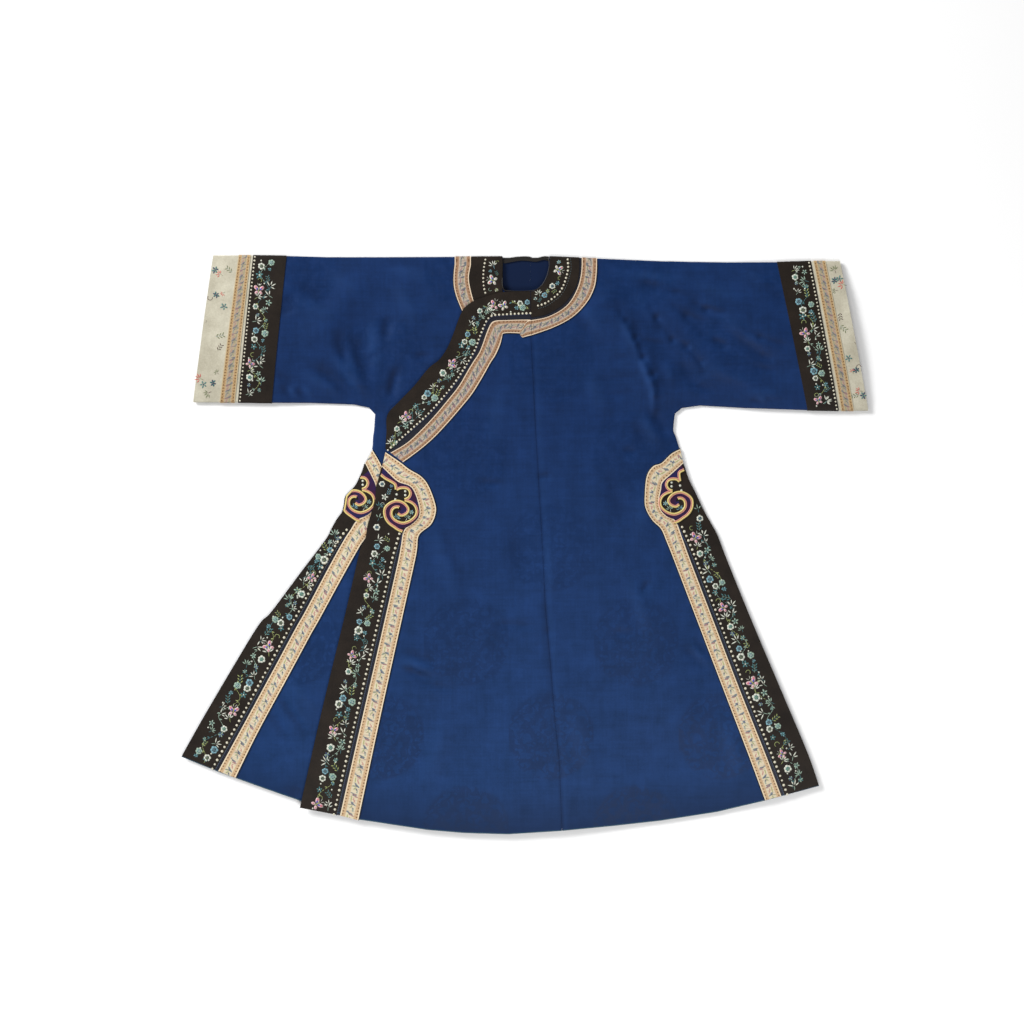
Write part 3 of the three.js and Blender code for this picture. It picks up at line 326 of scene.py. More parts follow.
def loft(x, y, fine=True):
    x, y = np.asarray(x, float), np.asarray(y, float)
    fold, edge, hem = from_edges(x, y)
    full = BODY_LOFT + (SLEEVE_LOFT - BODY_LOFT) * ease(250, 420, np.abs(x)) * ease(200, 300, y)
    swell = (1 - np.exp(-fold / 70)) * (1 - np.exp(-edge / 75)) * (0.25 + 0.75 * (1 - np.exp(-hem / 110)))
    free = ease(20, 90, fold) * ease(10, 80, edge) * ease(10, 120, hem)
    rise = full * swell + free * ridges(FOLDS, x, y)
    if fine:
        loose = ease(4, 30, fold) * ease(3, 26, edge) * ease(4, 40, hem)
        ripple = 0.35 * np.sin(x / 41 + 1.7 * np.sin(y / 83)) * np.sin(y / 57 + 1.1 * np.sin(x / 67))
        crease = np.clip(ridges(TAPERED, x, y), -DEEPEST_CREASE, HIGHEST_CREASE)
        rise = np.maximum(rise + loose * (crease + ripple), LEAST_SHARE * full * swell)
    return rise


lift = lambda x: CUFF_LIFT * ease(380, 470, np.abs(x))
back_z = lambda x, y: WALL + lift(x)
inner_z = lambda x, y: REST + lift(x) + loft(x, y)
overlap_z = lambda x, y: inner_z(x, y) + OVER
left_z = lambda x, y: inner_z(x, y) + OVER * (1 - ease(40, 270, np.asarray(x, float)))

# %% [markdown]
# Cloth is a shell: an outer face, an inner face a little below it, and a rim that closes them. A patch is a
# grid of points with their normals; patches that share an edge weld there, and every free edge gets its
# rim.

# %% Shell maker
def shell(name, patches, under, over, marks=None):
    """The patches as one closed piece, from under to over millimetres along the normals."""
    out, inn, uv, faces = [], [], [], []
    start = 0
    for n, (place, normal) in enumerate(patches):
        rows, cols = place.shape[:2]
        p, q = place.reshape(-1, 3), normal.reshape(-1, 3)
        out.append(p + q * over)
        inn.append(p + q * under)
        uv.append(marks[n].reshape(-1, 2) if marks is not None else p[:, :2])
        idx = start + np.arange(rows * cols).reshape(rows, cols)
        faces.append(np.stack([idx[:-1, :-1], idx[:-1, 1:], idx[1:, 1:], idx[1:, :-1]], -1).reshape(-1, 4))
        start += rows * cols
    out, inn, uv, faces = np.vstack(out), np.vstack(inn), np.vstack(uv), np.vstack(faces)
    normals = np.vstack([normal.reshape(-1, 3) for _, normal in patches])
    hundredths = np.round(out * 100).astype(np.int64)
    _, first, back = np.unique(hundredths, axis=0, return_index=True, return_inverse=True)
    back = back.reshape(-1)
    out, inn, uv, normals = out[first], inn[first], uv[first], normals[first]
    faces = back[faces]
    a, b, c, d = (out[faces[:, i]] for i in range(4))
    facing = (np.cross(c - a, d - b) * normals[faces].sum(1)).sum(1)
    faces[facing < 0] = faces[facing < 0][:, ::-1]
    solid = [tuple(dict.fromkeys(face)) for face in faces.tolist()]
    solid = [face for face in solid if len(face) > 2]
    n = len(out)
    edges = {}
    for face in solid:
        for i, v in enumerate(face):
            edges[(v, face[(i + 1) % len(face)])] = True
    rim = [(b, a, a + n, b + n) for a, b in edges if (b, a) not in edges]
    everything = solid + [tuple(v + n for v in reversed(face)) for face in solid] + rim
    data = bpy.data.meshes.new(name)
    data.from_pydata((np.vstack([out, inn]) * MM).tolist(), [], everything)
    layer = data.uv_layers.new(name="flat")
    both = np.vstack([uv, uv])
    loops = np.empty(len(data.loops), np.int32)
    data.loops.foreach_get("vertex_index", loops)
    layer.data.foreach_set("uv", both[loops].astype(np.float32).ravel())
    data.polygons.foreach_set("use_smooth", [True] * len(data.polygons))
    sharp = {tuple(sorted(pair)) for b, a, c, d in rim for pair in ((a, b), (c, d))}
    ends = np.empty(len(data.edges) * 2, np.int32)
    data.edges.foreach_get("vertices", ends)
    crisp = data.attributes.new("sharp_edge", "BOOLEAN", "EDGE")
    crisp.data.foreach_set("value", [tuple(sorted(pair)) in sharp for pair in ends.reshape(-1, 2).tolist()])
    data.update()
    piece = bpy.data.objects.new(name, data)
    bpy.context.scene.collection.objects.link(piece)
    return piece


def grid(front, back, cols):
    """Points in even steps from each point of one line across to its match on the other."""
    t = np.linspace(0, 1, cols + 1)[None, :, None]
    return front[:, None, :] * (1 - t) + back[:, None, :] * t


def facing(place, way):
    normal = np.zeros_like(place)
    normal[..., 2] = way
    return normal


def raised(flat, height):
    return np.concatenate([flat, height(flat[..., 0], flat[..., 1])[..., None]], -1)


def by_length(line, step):
    """A line of corners with extra points, so that no stretch is longer than step."""
    points = [line[0]]
    for p, q in zip(line[:-1], line[1:]):
        count = max(1, math.ceil(np.linalg.norm(q - p) / step))
        points += [p + (q - p) * k / count for k in range(1, count + 1)]
    return np.array(points)


def smooth(lines, step):
    """Matched lines drawn as smooth curves through their corners, with the same count of points on each."""
    counts = [max(1, math.ceil(max(np.linalg.norm(line[i + 1] - line[i]) for line in lines) / step))
              for i in range(len(lines[0]) - 1)]
    drawn = []
    for line in lines:
        points = []
        for i, count in enumerate(counts):
            a, b, c, d = line[max(0, i - 1)], line[i], line[i + 1], line[min(len(line) - 1, i + 2)]
            for k in range(count):
                t = k / count
                m1, m2 = (c - a) / 2, (d - b) / 2
                points.append((2 * t**3 - 3 * t**2 + 1) * b + (t**3 - 2 * t**2 + t) * m1
                              + (-2 * t**3 + 3 * t**2) * c + (t**3 - t**2) * m2)
        points.append(line[-1])
        drawn.append(np.array(points))
    return drawn


# %% [markdown]
# A front and its back are one cloth, turned over at the shoulder and sewn at the underarm. The turn is a half
# circle between the two heights, so this makes the arc of points for any edge.

# %% Turned edges
def radius(flat, height):
    return (height(flat[..., 0], flat[..., 1]) - back_z(flat[..., 0], 0)) / 2


def inset(edge, outward, height):
    return edge - outward * (radius(edge, height) + WALL)[..., None]


def turned(flat, outward, height, steps=6, stop=math.pi):
    r = radius(flat, height)
    middle = (height(flat[..., 0], flat[..., 1]) + back_z(flat[..., 0], 0)) / 2
    places, normals = [], []
    for a in np.linspace(0, stop, steps + 1):
        n = np.concatenate([outward * math.sin(a), np.full(flat.shape[:-1] + (1,), math.cos(a))], -1)
        places.append(np.concatenate([flat, middle[..., None]], -1) + n * r[..., None])
        normals.append(n)
    return np.stack(places, -2), np.stack(normals, -2)


UP_PAGE = np.array([0.0, 1.0])
DOWN_PAGE = np.array([0.0, -1.0])


def ring(top, bottom, height, rows=56, low=DOWN_PAGE):
    """One sleeve section per station: front, underarm turn, back and shoulder turn."""
    low = np.broadcast_to(low, bottom.shape)
    up = np.broadcast_to(UP_PAGE, top.shape)
    flat_top, flat_low = inset(top, up, height), inset(bottom, low, height)
    front = raised(grid(flat_top, flat_low, rows), height)
    back = raised(grid(flat_top, flat_low, 6), back_z)
    turned_low = turned(flat_low, low, height)
    turned_top = turned(flat_top, up, height)
    return [(front, facing(front, 1)), turned_low, (back, facing(back, -1)), turned_top]


def line_between(table, a, b, t):
    """Station lines a part t of the way from station a to station b."""
    a, b = np.array(table[a], float), np.array(table[b], float)
    t = np.asarray(t, float)[:, None]
    row = a * (1 - t) + b * t
    return row[:, :2], row[:, 2:]


# %% [markdown]
# The two halves of the robe. Columns run down from the shoulder, rows across from the centre to the side
# seam and on down the slit; the sleeve's rings carry on from the last column.

# %% Robe halves
def side_rows(side, step=4.8):
    sewn = [True]
    for i, (p, q) in enumerate(zip(side[:-1], side[1:])):
        sewn += [i + 1 <= SLIT_ROW] * max(1, math.ceil(np.linalg.norm(q - p) / step))
    return smooth([side], step)[0], np.array(sewn)


def kept_in(edge, trim, sx):
    """The side drawn no further out than the band that is sewn along it."""
    line = smooth([np.array([row[:2] for row in trim], float)], 6)[0]
    line = np.vstack([np.array([trim[0][4:6], trim[0][2:4]], float), line])
    limit = np.interp(-edge[:, 1], -line[:, 1], line[:, 0]) - sx * 0.7
    low = (edge[:, 1] < trim[0][5]) & (edge[:, 1] > trim[-1][1])
    made = edge.copy()
    made[:, 0] = np.where(low, sx * np.minimum(sx * edge[:, 0], sx * limit), edge[:, 0])
    return made


def robe_half(name, table, side, neck, front_centre, back_centre_x, height, hem_end, sx):
    trim = SLIT_LEFT if sx > 0 else SLIT_RIGHT
    # the sleeve, from the underarm corner out to its end
    corner_out = np.array([0.7071 * sx, -0.7071])
    names = ["underarm", "curve", "upper", "middle", "band", "ribbon"]
    tops, lows = [], []
    for a, b in zip(names[:-1], names[1:]):
        span = abs(table[b][0] - table[a][0]) + abs(table[b][2] - table[a][2])
        count = max(2, math.ceil(span / 2 / 4.4))
        top, low = line_between(table, a, b, np.arange(count) / count)
        tops.append(top)
        lows.append(low)
    top, low = line_between(table, "ribbon", "end", [0.08])
    tops = np.vstack(tops + [top])
    lows = np.vstack(lows + [low])
    outs = np.broadcast_to(DOWN_PAGE, lows.shape).copy()
    outs[0] = corner_out
    rows = 74
    tube = ring(tops, lows, height, rows, outs)
    patches = list(tube)
    front_last, back_last = tube[0][0][0], tube[2][0][0]
    # the front above the underarm, from the neck and the shoulder down
    corner = front_last[-1][:2]
    neck = by_length(neck, 5)
    shoulder_x = np.linspace(neck[-1][0], tops[0][0], 54)[1:-1]
    shoulder = np.stack([shoulder_x, along(SHOULDER, 0, shoulder_x)], -1)
    shoulder = np.vstack([neck[-1:], shoulder])
    flat = inset(shoulder, np.broadcast_to(UP_PAGE, shoulder.shape), height)
    heads = np.vstack([neck[:-1], flat, front_last[:1, :2]])
    cols = len(heads) - 1
    centre = lambda y: np.stack([along(front_centre, 1, y), y], -1)
    share = np.linspace(0, 1, cols + 1)[:, None]
    mid = centre(np.array([corner[1]])) * (1 - share) + corner * share
    t = np.linspace(0, 1, rows + 1)[:, None, None]
    block = heads[None] * (1 - t) + mid[None] * t
    block[:, 0] = centre(block[:, 0, 1])
    block[:, -1] = front_last[:, :2]
    upper = raised(block, height)
    upper[:, -1] = front_last
    # the front below the underarm, from the centre out to the side seam and the slit
    edge, sewn = side_rows(side)
    edge = kept_in(edge, trim, sx)
    lower_edge = np.where(sewn[:, None], inset(edge, np.broadcast_to([sx, 0.0], edge.shape), height), edge)
    lower_edge[0] = corner

    def skirt(outer, centre_line, end, tuck):
        fall = np.clip((corner[1] - outer[:, 1]) / (corner[1] - outer[-1, 1]), 0, 1)
        centre_y = corner[1] + (end - corner[1]) * fall
        mids = np.stack([along(centre_line, 1, centre_y), centre_y], -1)
        f = share[None, :, 0]
        body = mids[:, None] * (1 - f[..., None]) + outer[:, None] * f[..., None]
        s = np.linspace(0, 1, len(outer))[:, None]
        low_y = along(HEM, 0, body[..., 0])
        straight = along(HEM, 0, mids[:, 0])[:, None] * (1 - f) + outer[-1, 1] * f
        body[..., 1] += (low_y - straight) * s * s * (f < 1)
        body[-1, :-1, 1] = along(HEM, 0, body[-1, :-1, 0]) + tuck
        return body

    front = raised(skirt(lower_edge, front_centre, hem_end, 0), height)
    front[0] = upper[-1]
    patches += [(upper, facing(upper, 1)), (front, facing(front, 1))]
    # the turns along the side seam and the shoulder fold
    seam = lower_edge[sewn]
    arc, arc_n = turned(seam, np.broadcast_to([sx, 0.0], seam.shape), height)
    arc[0], arc_n[0] = tube[1][0][0], tube[1][1][0]
    patches.append((arc, arc_n))
    fold_line = np.vstack([flat, front_last[:1, :2]])
    fold, fold_n = turned(fold_line, np.broadcast_to(UP_PAGE, fold_line.shape), height)
    fold[-1], fold_n[-1] = tube[3][0][0], tube[3][1][0]
    patches.append((fold, fold_n))
    # the back, which lies flat on the table
    back_edge = np.where(sewn[:, None], lower_edge, edge - np.array([sx * 4, 0]))
    back_edge[-1, 1] += 3
    back_line = np.array([(back_centre_x, 552), (back_centre_x, -560)], float)
    count = len(neck) - 1
    start = heads.copy()
    part = (np.arange(count) / count)[:, None]
    start[:count] = np.array([back_centre_x, 550.0]) * (1 - part) + flat[0] * part
    mid_back = np.array([back_centre_x, corner[1]]) * (1 - share) + corner * share
    t = np.linspace(0, 1, 7)[:, None, None]
    flat_back = start[None] * (1 - t) + mid_back[None] * t
    upper_back = raised(flat_back, back_z)
    upper_back[:, -1] = back_last
    keep = np.unique(np.r_[np.arange(0, len(back_edge), 5), np.where(sewn)[0], len(back_edge) - 1])
    lower_back = raised(skirt(back_edge[keep], back_line, hem_end + 3, 3), back_z)
    lower_back[0] = upper_back[-1]
    patches += [(upper_back, facing(upper_back, -1)), (lower_back, facing(lower_back, -1))]
    return shell(name, patches, WALL - 0.8, WALL)


half_left = robe_half("silk_left", SLEEVE_LEFT, SIDE_LEFT, NECK_LEFT, CENTRE_SEAM, 10.9, left_z, -550, 1)
half_right = robe_half("silk_right", SLEEVE_RIGHT, SIDE_RIGHT, NECK_RIGHT, INNER_EDGE, 10.8, inner_z, -548,
                       -1)
print("halves:", len(half_left.data.polygons), len(half_right.data.polygons), "faces")

# %% [markdown]
# The overlap is the outer front that crosses to the wearer's right. Its rows fan from the diagonal edge and
# the slit across to the centre seam.

# %% Overlap
edge = kept_in(smooth([OVERLAP_EDGE], 4.8)[0], SLIT_FRONT, -1)
fall = (edge[0, 1] - edge[:, 1]) / (edge[0, 1] - edge[-1, 1])
seam_y = 484 - 1034 * fall
seam = np.stack([along(CENTRE_SEAM, 1, seam_y) - 0.3, seam_y], -1)
cols = 98
field = grid(edge, seam, cols)
f = np.linspace(0, 1, cols + 1)[None, :]
low = along(HEM, 0, field[..., 0]) - (-509 * (1 - f) - 550 * f)
field[:, 1:, 1] += (low * (fall**4)[:, None])[:, 1:]
field[-1, 1:, 1] = along(HEM, 0, field[-1, 1:, 0])
sheet_points = raised(field, overlap_z)
overlap = shell("silk_overlap", [(sheet_points, facing(sheet_points, 1))], WALL - 0.8, WALL)

# %% [markdown]
# The creases' light and shade is painted into the silk's colour: brighter where a crease leans to the window,
# darker where it leans away or lies deep. The lean is worked out from the same creases and kept on the mesh
# as a mark from -1 to 1, which the blue cloth's colour reads. The pressed centre seam, where the overlap
# joins the left half, gets a painted shade line with a painted highlight beside it.

# %% Crease marks: painted light and shade
TO_WINDOW = (-1.17, 0.93)


def paint_crease_shading(piece):
    spots = np.empty(len(piece.data.vertices) * 3)
    piece.data.vertices.foreach_get("co", spots)
    x, y, z = spots.reshape(-1, 3).T * 1000
    fold, edge, hem = from_edges(x, y)
    loose = ease(2, 24, fold) * ease(2, 20, edge) * ease(2, 30, hem) * (z > back_z(x, y) + 0.8)
    dx, dy = TO_WINDOW
    tables = TAPERED + FOLDS
    # a crease leaning to the window gets painted light, one leaning away painted shade; its height adds
    # darker valleys and lighter crests
    lean = ridges(tables, x - dx, y - dy) - ridges(tables, x + dx, y + dy)
    mark = loose * (lean * 1.15 + 0.32 * np.clip(ridges(TAPERED, x, y), -1.1, 1.4))
    # painted shade in the pressed centre seam, with a painted highlight just beside it
    if piece is not half_right:
        off = x - along(CENTRE_SEAM, 1, y)
        seam = 0.34 * np.exp(-((off - 7) / 5) ** 2) - 0.62 * np.exp(-((off / 2.2) ** 2))
        mark += (z > back_z(x, y) + 0.8) * seam
    mark = np.clip(mark, -1, 1)
    piece.data.attributes.new("crease", "FLOAT", "POINT").data.foreach_set("value", mark)
    return float(np.abs(mark).mean())


for piece in (half_left, half_right, overlap):
    print(piece.name, "mean crease mark", round(paint_crease_shading(piece), 3))

# %% [markdown]
# Bands and ribbons are strips sewn on a panel. Each table row gives the strip's outer and inner edge at one
# place, and the strip takes its height from the cloth below it.

# %% Strips
BASE = WALL + 0.12


def strip(name, rows, height, cols=6, step=6, base=BASE, thick=TRIM, wrap=False):
    outer = np.array([r[:2] for r in rows], float)
    inner = np.array([r[2:] for r in rows], float)
    one, two = smooth([outer, inner], step)
    cut_size(name, one, two, 22.0 if wrap else 0.0)
    flat = grid(one, two, cols)
    place = raised(flat, height)
    normal = facing(place, 1)
    middle = (one + two) / 2
    run = np.r_[0, np.cumsum(np.linalg.norm(np.diff(middle, axis=0), axis=1))]
    if wrap:
        head = flat[0].copy()
        head[:, 1] = along(SHOULDER, 0, head[:, 0])
        rim = inset(head, np.broadcast_to(UP_PAGE, head.shape), height)
        arc, arc_n = turned(rim, np.broadcast_to(UP_PAGE, rim.shape), height, 5, math.pi * 0.55)
        extra, extra_n = arc.transpose(1, 0, 2)[::-1], arc_n.transpose(1, 0, 2)[::-1]
        place, normal = np.concatenate([extra, place]), np.concatenate([extra_n, normal])
        run = np.r_[run[0] - 22 + 3.4 * np.arange(len(extra)), run]
    across = np.linspace(0, 1, cols + 1)
    marks = np.stack(np.broadcast_arrays(run[:, None], across[None, :]), -1)
    return shell(name, [(place, normal)], base, base + thick, [marks])


HEAD_ROWS = 9
NAVY = 5.0


def pulled(table):
    """The band's edges. Below the head its inner edge is pulled back, which leaves the navy gap."""
    rows = []
    for i, (ex, ey, gx, gy, *_) in enumerate(table):
        wide = math.hypot(gx - ex, gy - ey)
        back = 0.3 if i < HEAD_ROWS else 0.3 + (NAVY - 0.3) * float(ease(HEAD_ROWS - 1, HEAD_ROWS + 1, i))
        rows.append((ex, ey, gx + (ex - gx) * back / wide, gy + (ey - gy) * back / wide))
    return rows


def nearer(table, far):
    """The same rows with the band's inner edge a little nearer to the ribbon."""
    rows = []
    for r in table:
        k = far / math.hypot(r[4] - r[2], r[5] - r[3])
        rows.append((*r[:2], r[2] + (r[4] - r[2]) * k, r[3] + (r[5] - r[3]) * k, *r[4:]))
    return rows


cuts = {}


def cut_size(name, one, two, spare=0.0):
    """The strip as it was cut, flat: width, length and area, in metres."""
    wide = np.linalg.norm(one - two, axis=1)
    steps = np.linalg.norm(np.diff((one + two) / 2, axis=0), axis=1)
    area = float((steps * (wide[1:] + wide[:-1]) / 2).sum() + spare * wide[0])
    width, length = max(float(wide.max()), 10.5), float(steps.sum()) + spare
    cuts[name] = (width * MM, length * MM, max(area, 0.31 * width * length) * MM * MM)


bands, ribbons = {}, {}
slit_tables = (
    ("left", SLIT_LEFT, left_z),
    ("front", SLIT_FRONT, overlap_z),
    ("right", SLIT_RIGHT, inner_z))
for tag, rows, height in slit_tables:
    bands["slit_band_" + tag] = strip("satin_slit_" + tag, pulled(rows), height, cols=8)
    ribbons["slit_ribbon_" + tag] = strip("woven_slit_" + tag, [r[2:] for r in rows], height)
OVERLAP_WIDE = nearer(OVERLAP_TRIM, 3.6)
bands["overlap_band"] = strip("satin_overlap", [r[:4] for r in OVERLAP_WIDE], overlap_z, cols=8)
ribbons["overlap_ribbon"] = strip("woven_overlap", [r[4:] for r in OVERLAP_TRIM], overlap_z)
bands["yoke_band_left"] = strip("satin_yoke_left", [r[:4] for r in YOKE_LEFT], left_z, cols=8, wrap=True)
ribbons["yoke_ribbon_left"] = strip("woven_yoke_left", [r[4:] for r in YOKE_LEFT], left_z, wrap=True)
bands["yoke_band_right"] = strip("satin_yoke_right", [r[:4] for r in YOKE_RIGHT], inner_z, cols=8,
                                 wrap=True)
ribbons["yoke_ribbon_right"] = strip("woven_yoke_right", [r[4:] for r in YOKE_RIGHT], inner_z, wrap=True)
print("strips:", len(bands) + len(ribbons))

# %% [markdown]
# A narrow navy silk lies under the edges of each band and its ribbon, so that it shows only in the gap
# between them. Its rows run from one strip's edge to the other's, and a little further on both sides.

# %% Navy piping
def bridge(rows, under=1.2):
    made = []
    for ax, ay, bx, by in rows:
        k = under / max(math.hypot(bx - ax, by - ay), 1.0)
        made.append((ax + (ax - bx) * k, ay + (ay - by) * k, bx + (bx - ax) * k, by + (by - ay) * k))
    return made


pipings = []
for tag, rows, height in slit_tables:
    gap = [(*a[2:], *b[2:4]) for a, b in zip(pulled(rows), rows)][HEAD_ROWS:]
    pipings.append(strip("navy_slit_" + tag, bridge(gap), height, cols=2, base=WALL + 0.02, thick=0.08))
for tag, rows, height, turn in (
        ("overlap", OVERLAP_WIDE, overlap_z, False),
        ("yoke_left", YOKE_LEFT, left_z, True),
        ("yoke_right", YOKE_RIGHT, inner_z, True)):
    gap = [r[2:6] for r in rows]
    pipings.append(strip("navy_" + tag, bridge(gap), height, cols=2, base=WALL + 0.02, thick=0.08,
                         wrap=turn))

# %% [markdown]
# Each sleeve ends in three rings: a black band, a woven ribbon and a cream satin end. The satin also shows
# as a thin line between the band and the ribbon, where it is folded back under both.

# %% Cuffs
def cuff(name, table, spans, height, under, over):
    tops, lows = [], []
    for a, b, t0, t1, count in spans:
        top, low = line_between(table, a, b, np.linspace(t0, t1, count))
        tops.append(top)
        lows.append(low)
    tops = np.vstack(tops)
    lows = np.vstack(lows)
    patches = ring(tops, lows, height, 40)
    around = (tops[:, 1] - lows[:, 1]).mean() * 2
    width = (np.linalg.norm(tops[-1] - tops[0]) + np.linalg.norm(lows[-1] - lows[0])) / 2
    cuts[name] = (width * MM, around * MM, width * around * MM * MM)
    wide = np.linspace(0, 1, len(tops))
    # millimetres around the sleeve for the front, the underarm turn, the back and the shoulder turn
    around_from_to = ((0, 285), (285, 290), (575, 290), (0, -5))
    lengths = [np.linspace(*span, points.shape[1]) for span, (points, _) in zip(around_from_to, patches)]
    marks = [np.stack(np.broadcast_arrays(run[None, :], wide[:, None]), -1) for run in lengths]
    return shell(name, patches, under, over, marks)


cuffs = {}
for tag, table, height in (("left", SLEEVE_LEFT, left_z), ("right", SLEEVE_RIGHT, inner_z)):
    face = WALL + 0.12
    spans = [("band", "ribbon", 0, 0.985, 11)]
    cuffs["cuff_band_" + tag] = cuff("satin_cuff_" + tag, table, spans, height, face, face + TRIM)
    spans = [("ribbon", "cuff", 0.15, 1, 7)]
    cuffs["cuff_ribbon_" + tag] = cuff("woven_cuff_" + tag, table, spans, height, face, face + TRIM)
    spans = [("ribbon", "end", -0.01, 1, 15)]
    cuffs["cuff_satin_" + tag] = cuff("cream_cuff_" + tag, table, spans, height, WALL - 0.8, WALL + 0.08)

# %% [markdown]
# Silks differ by their weave. One group gives every cloth its fine uneven threads, so each material only
# sets how coarse and how strong they are.

# %% Weave group
def new_group(name, inputs, outputs):
    tree = bpy.data.node_groups.new(name, "ShaderNodeTree")
    for label, kind, value in inputs:
        socket = tree.interface.new_socket(label, in_out="INPUT", socket_type=kind)
        if value is not None:
            socket.default_value = value
    for label, kind in outputs:
        tree.interface.new_socket(label, in_out="OUTPUT", socket_type=kind)
    return tree, tree.nodes.new("NodeGroupInput"), tree.nodes.new("NodeGroupOutput")


def put(tree, kind, links=(), **settings):
    node = tree.nodes.new(kind)
    for key, value in settings.items():
        setattr(node, key, value)
    for slot, source in dict(links).items():
        socket = node.inputs[slot]
        if hasattr(source, "is_output"):
            tree.links.new(source, socket)
        else:
            socket.default_value = source
    return node


def sums(tree, operation, a, b=0.0):
    return put(tree, "ShaderNodeMath", {0: a, 1: b}, operation=operation).outputs[0]


def times(tree, a, b):
    return sums(tree, "MULTIPLY", a, b)


def plus(tree, a, b):
    return sums(tree, "ADD", a, b)


def minus(tree, a, b):
    return sums(tree, "SUBTRACT", a, b)


def ramp(tree, value, start, end, at_start=0.0, at_end=1.0):
    """at_start up to the value start, at_end from the value end on, and a straight line between."""
    settings = {0: value, 1: start, 2: end, 3: at_start, 4: at_end}
    return put(tree, "ShaderNodeMapRange", settings).outputs[0]


def noise(tree, place, scale, detail=2.0):
    return put(tree, "ShaderNodeTexNoise", {"Vector": place, "Scale": scale, "Detail": detail})


def blend(tree, amount, a, b, mode="MIX"):
    node = put(tree, "ShaderNodeMix", {"Factor": amount}, data_type="RGBA", blend_type=mode)
    for slot, source in ((6, a), (7, b)):
        if hasattr(source, "is_output"):
            tree.links.new(source, node.inputs[slot])
        else:
            node.inputs[slot].default_value = (*source, 1)
    return node.outputs[2]


def between(tree, value, low, high, soft=0.02):
    """1 inside low..high, 0 outside, with a soft edge."""
    rise = ramp(tree, value, low - soft, low + soft)
    sink = ramp(tree, value, high - soft, high + soft, 1.0, 0.0)
    return times(tree, rise, sink)


weave, win, wout = new_group("silk_weave",
                             [("Place", "NodeSocketVector", None), ("Thread", "NodeSocketFloat", 0.6)],
                             [("Tone", "NodeSocketFloat"), ("Height", "NodeSocketFloat")])
thread_scale = put(weave, "ShaderNodeVectorMath", {0: win.outputs["Place"]}, operation="SCALE")
weave.links.new(sums(weave, "DIVIDE", 1.0, win.outputs["Thread"]), thread_scale.inputs["Scale"])
warp = put(weave, "ShaderNodeTexWave", {"Vector": thread_scale.outputs[0], "Scale": 0.31, "Distortion": 1.2,
                                        "Detail": 1.0}, bands_direction="X")
weft = put(weave, "ShaderNodeTexWave", {"Vector": thread_scale.outputs[0], "Scale": 0.27, "Distortion": 1.5,
                                        "Detail": 1.0}, bands_direction="Y")
cloud = noise(weave, win.outputs["Place"], 0.028, 5.0)
cloud.inputs["Roughness"].default_value = 0.6
speck = noise(weave, win.outputs["Place"], 0.35)
threads = times(weave, warp.outputs["Fac"], weft.outputs["Fac"])
weave.links.new(plus(weave, times(weave, cloud.outputs["Fac"], 0.7),
                     times(weave, speck.outputs["Fac"], 0.3)), wout.inputs["Tone"])
weave.links.new(threads, wout.inputs["Height"])

# %% [markdown]
# Damask shows its pattern only where the weave turns from dull to shiny. Roundels stand in columns, every
# second column half a step lower, and inside each one petals and curling lines are drawn from angle and
# distance.

# %% Damask roundels group
damask, din, dout = new_group("damask_roundels",
                              [("Place", "NodeSocketVector", None)],
                              [("Pattern", "NodeSocketFloat")])
COLUMN, PERIOD, ROUNDEL = 163.0, 360.0, 88.0
apart = put(damask, "ShaderNodeSeparateXYZ", {0: din.outputs["Place"]})
column = sums(damask, "ROUND", sums(damask, "DIVIDE", minus(damask, apart.outputs["X"], 50.0), COLUMN))
from_x = minus(damask, minus(damask, apart.outputs["X"], 50.0), times(damask, column, COLUMN))
parity = sums(damask, "ABSOLUTE", sums(damask, "MODULO", column, 2.0))
lowered = plus(damask, plus(damask, apart.outputs["Y"], 8.0), times(damask, parity, PERIOD / 2))
row = sums(damask, "ROUND", sums(damask, "DIVIDE", lowered, PERIOD))
from_y = minus(damask, lowered, times(damask, row, PERIOD))
local = put(damask, "ShaderNodeCombineXYZ", {0: from_x, 1: from_y})
wobble = noise(damask, local.outputs[0], 0.045)
spread = put(damask, "ShaderNodeVectorMath", {0: wobble.outputs["Color"], 1: (0.5, 0.5, 0.5)},
             operation="SUBTRACT")
spread = put(damask, "ShaderNodeVectorMath", {0: spread.outputs[0], "Scale": 34.0}, operation="SCALE")
bent = put(damask, "ShaderNodeVectorMath", {0: local.outputs[0], 1: spread.outputs[0]}, operation="ADD")
plain = put(damask, "ShaderNodeVectorMath", {0: local.outputs[0]}, operation="LENGTH").outputs["Value"]
out_x = put(damask, "ShaderNodeSeparateXYZ", {0: bent.outputs[0]})
distance = put(damask, "ShaderNodeVectorMath", {0: bent.outputs[0]}, operation="LENGTH").outputs["Value"]
angle = sums(damask, "ARCTAN2", out_x.outputs["Y"], out_x.outputs["X"])
petals = sums(damask, "SINE", plus(damask, times(damask, angle, 8.0), times(damask, distance, 0.09)))
rings = sums(damask, "SINE", plus(damask, times(damask, distance, 0.30), times(damask, angle, 3.0)))
lines = put(damask, "ShaderNodeTexVoronoi", {"Vector": bent.outputs[0], "Scale": 0.075},
            feature="DISTANCE_TO_EDGE")
curls = between(damask, lines.outputs["Distance"], 0.0, 0.16, 0.05)
figure = times(damask, plus(damask, petals, rings), 0.35)
figure = plus(damask, figure, curls)
figure = ramp(damask, figure, 0.15, 0.75)
inside = ramp(damask, plain, ROUNDEL - 8, ROUNDEL, 1.0, 0.0)
damask.links.new(times(damask, figure, inside), dout.inputs["Pattern"])

# %% [markdown]
# The materials. Blue damask and black satin read the object's own coordinates, in millimetres once scaled, so
# their threads keep one size on every piece.

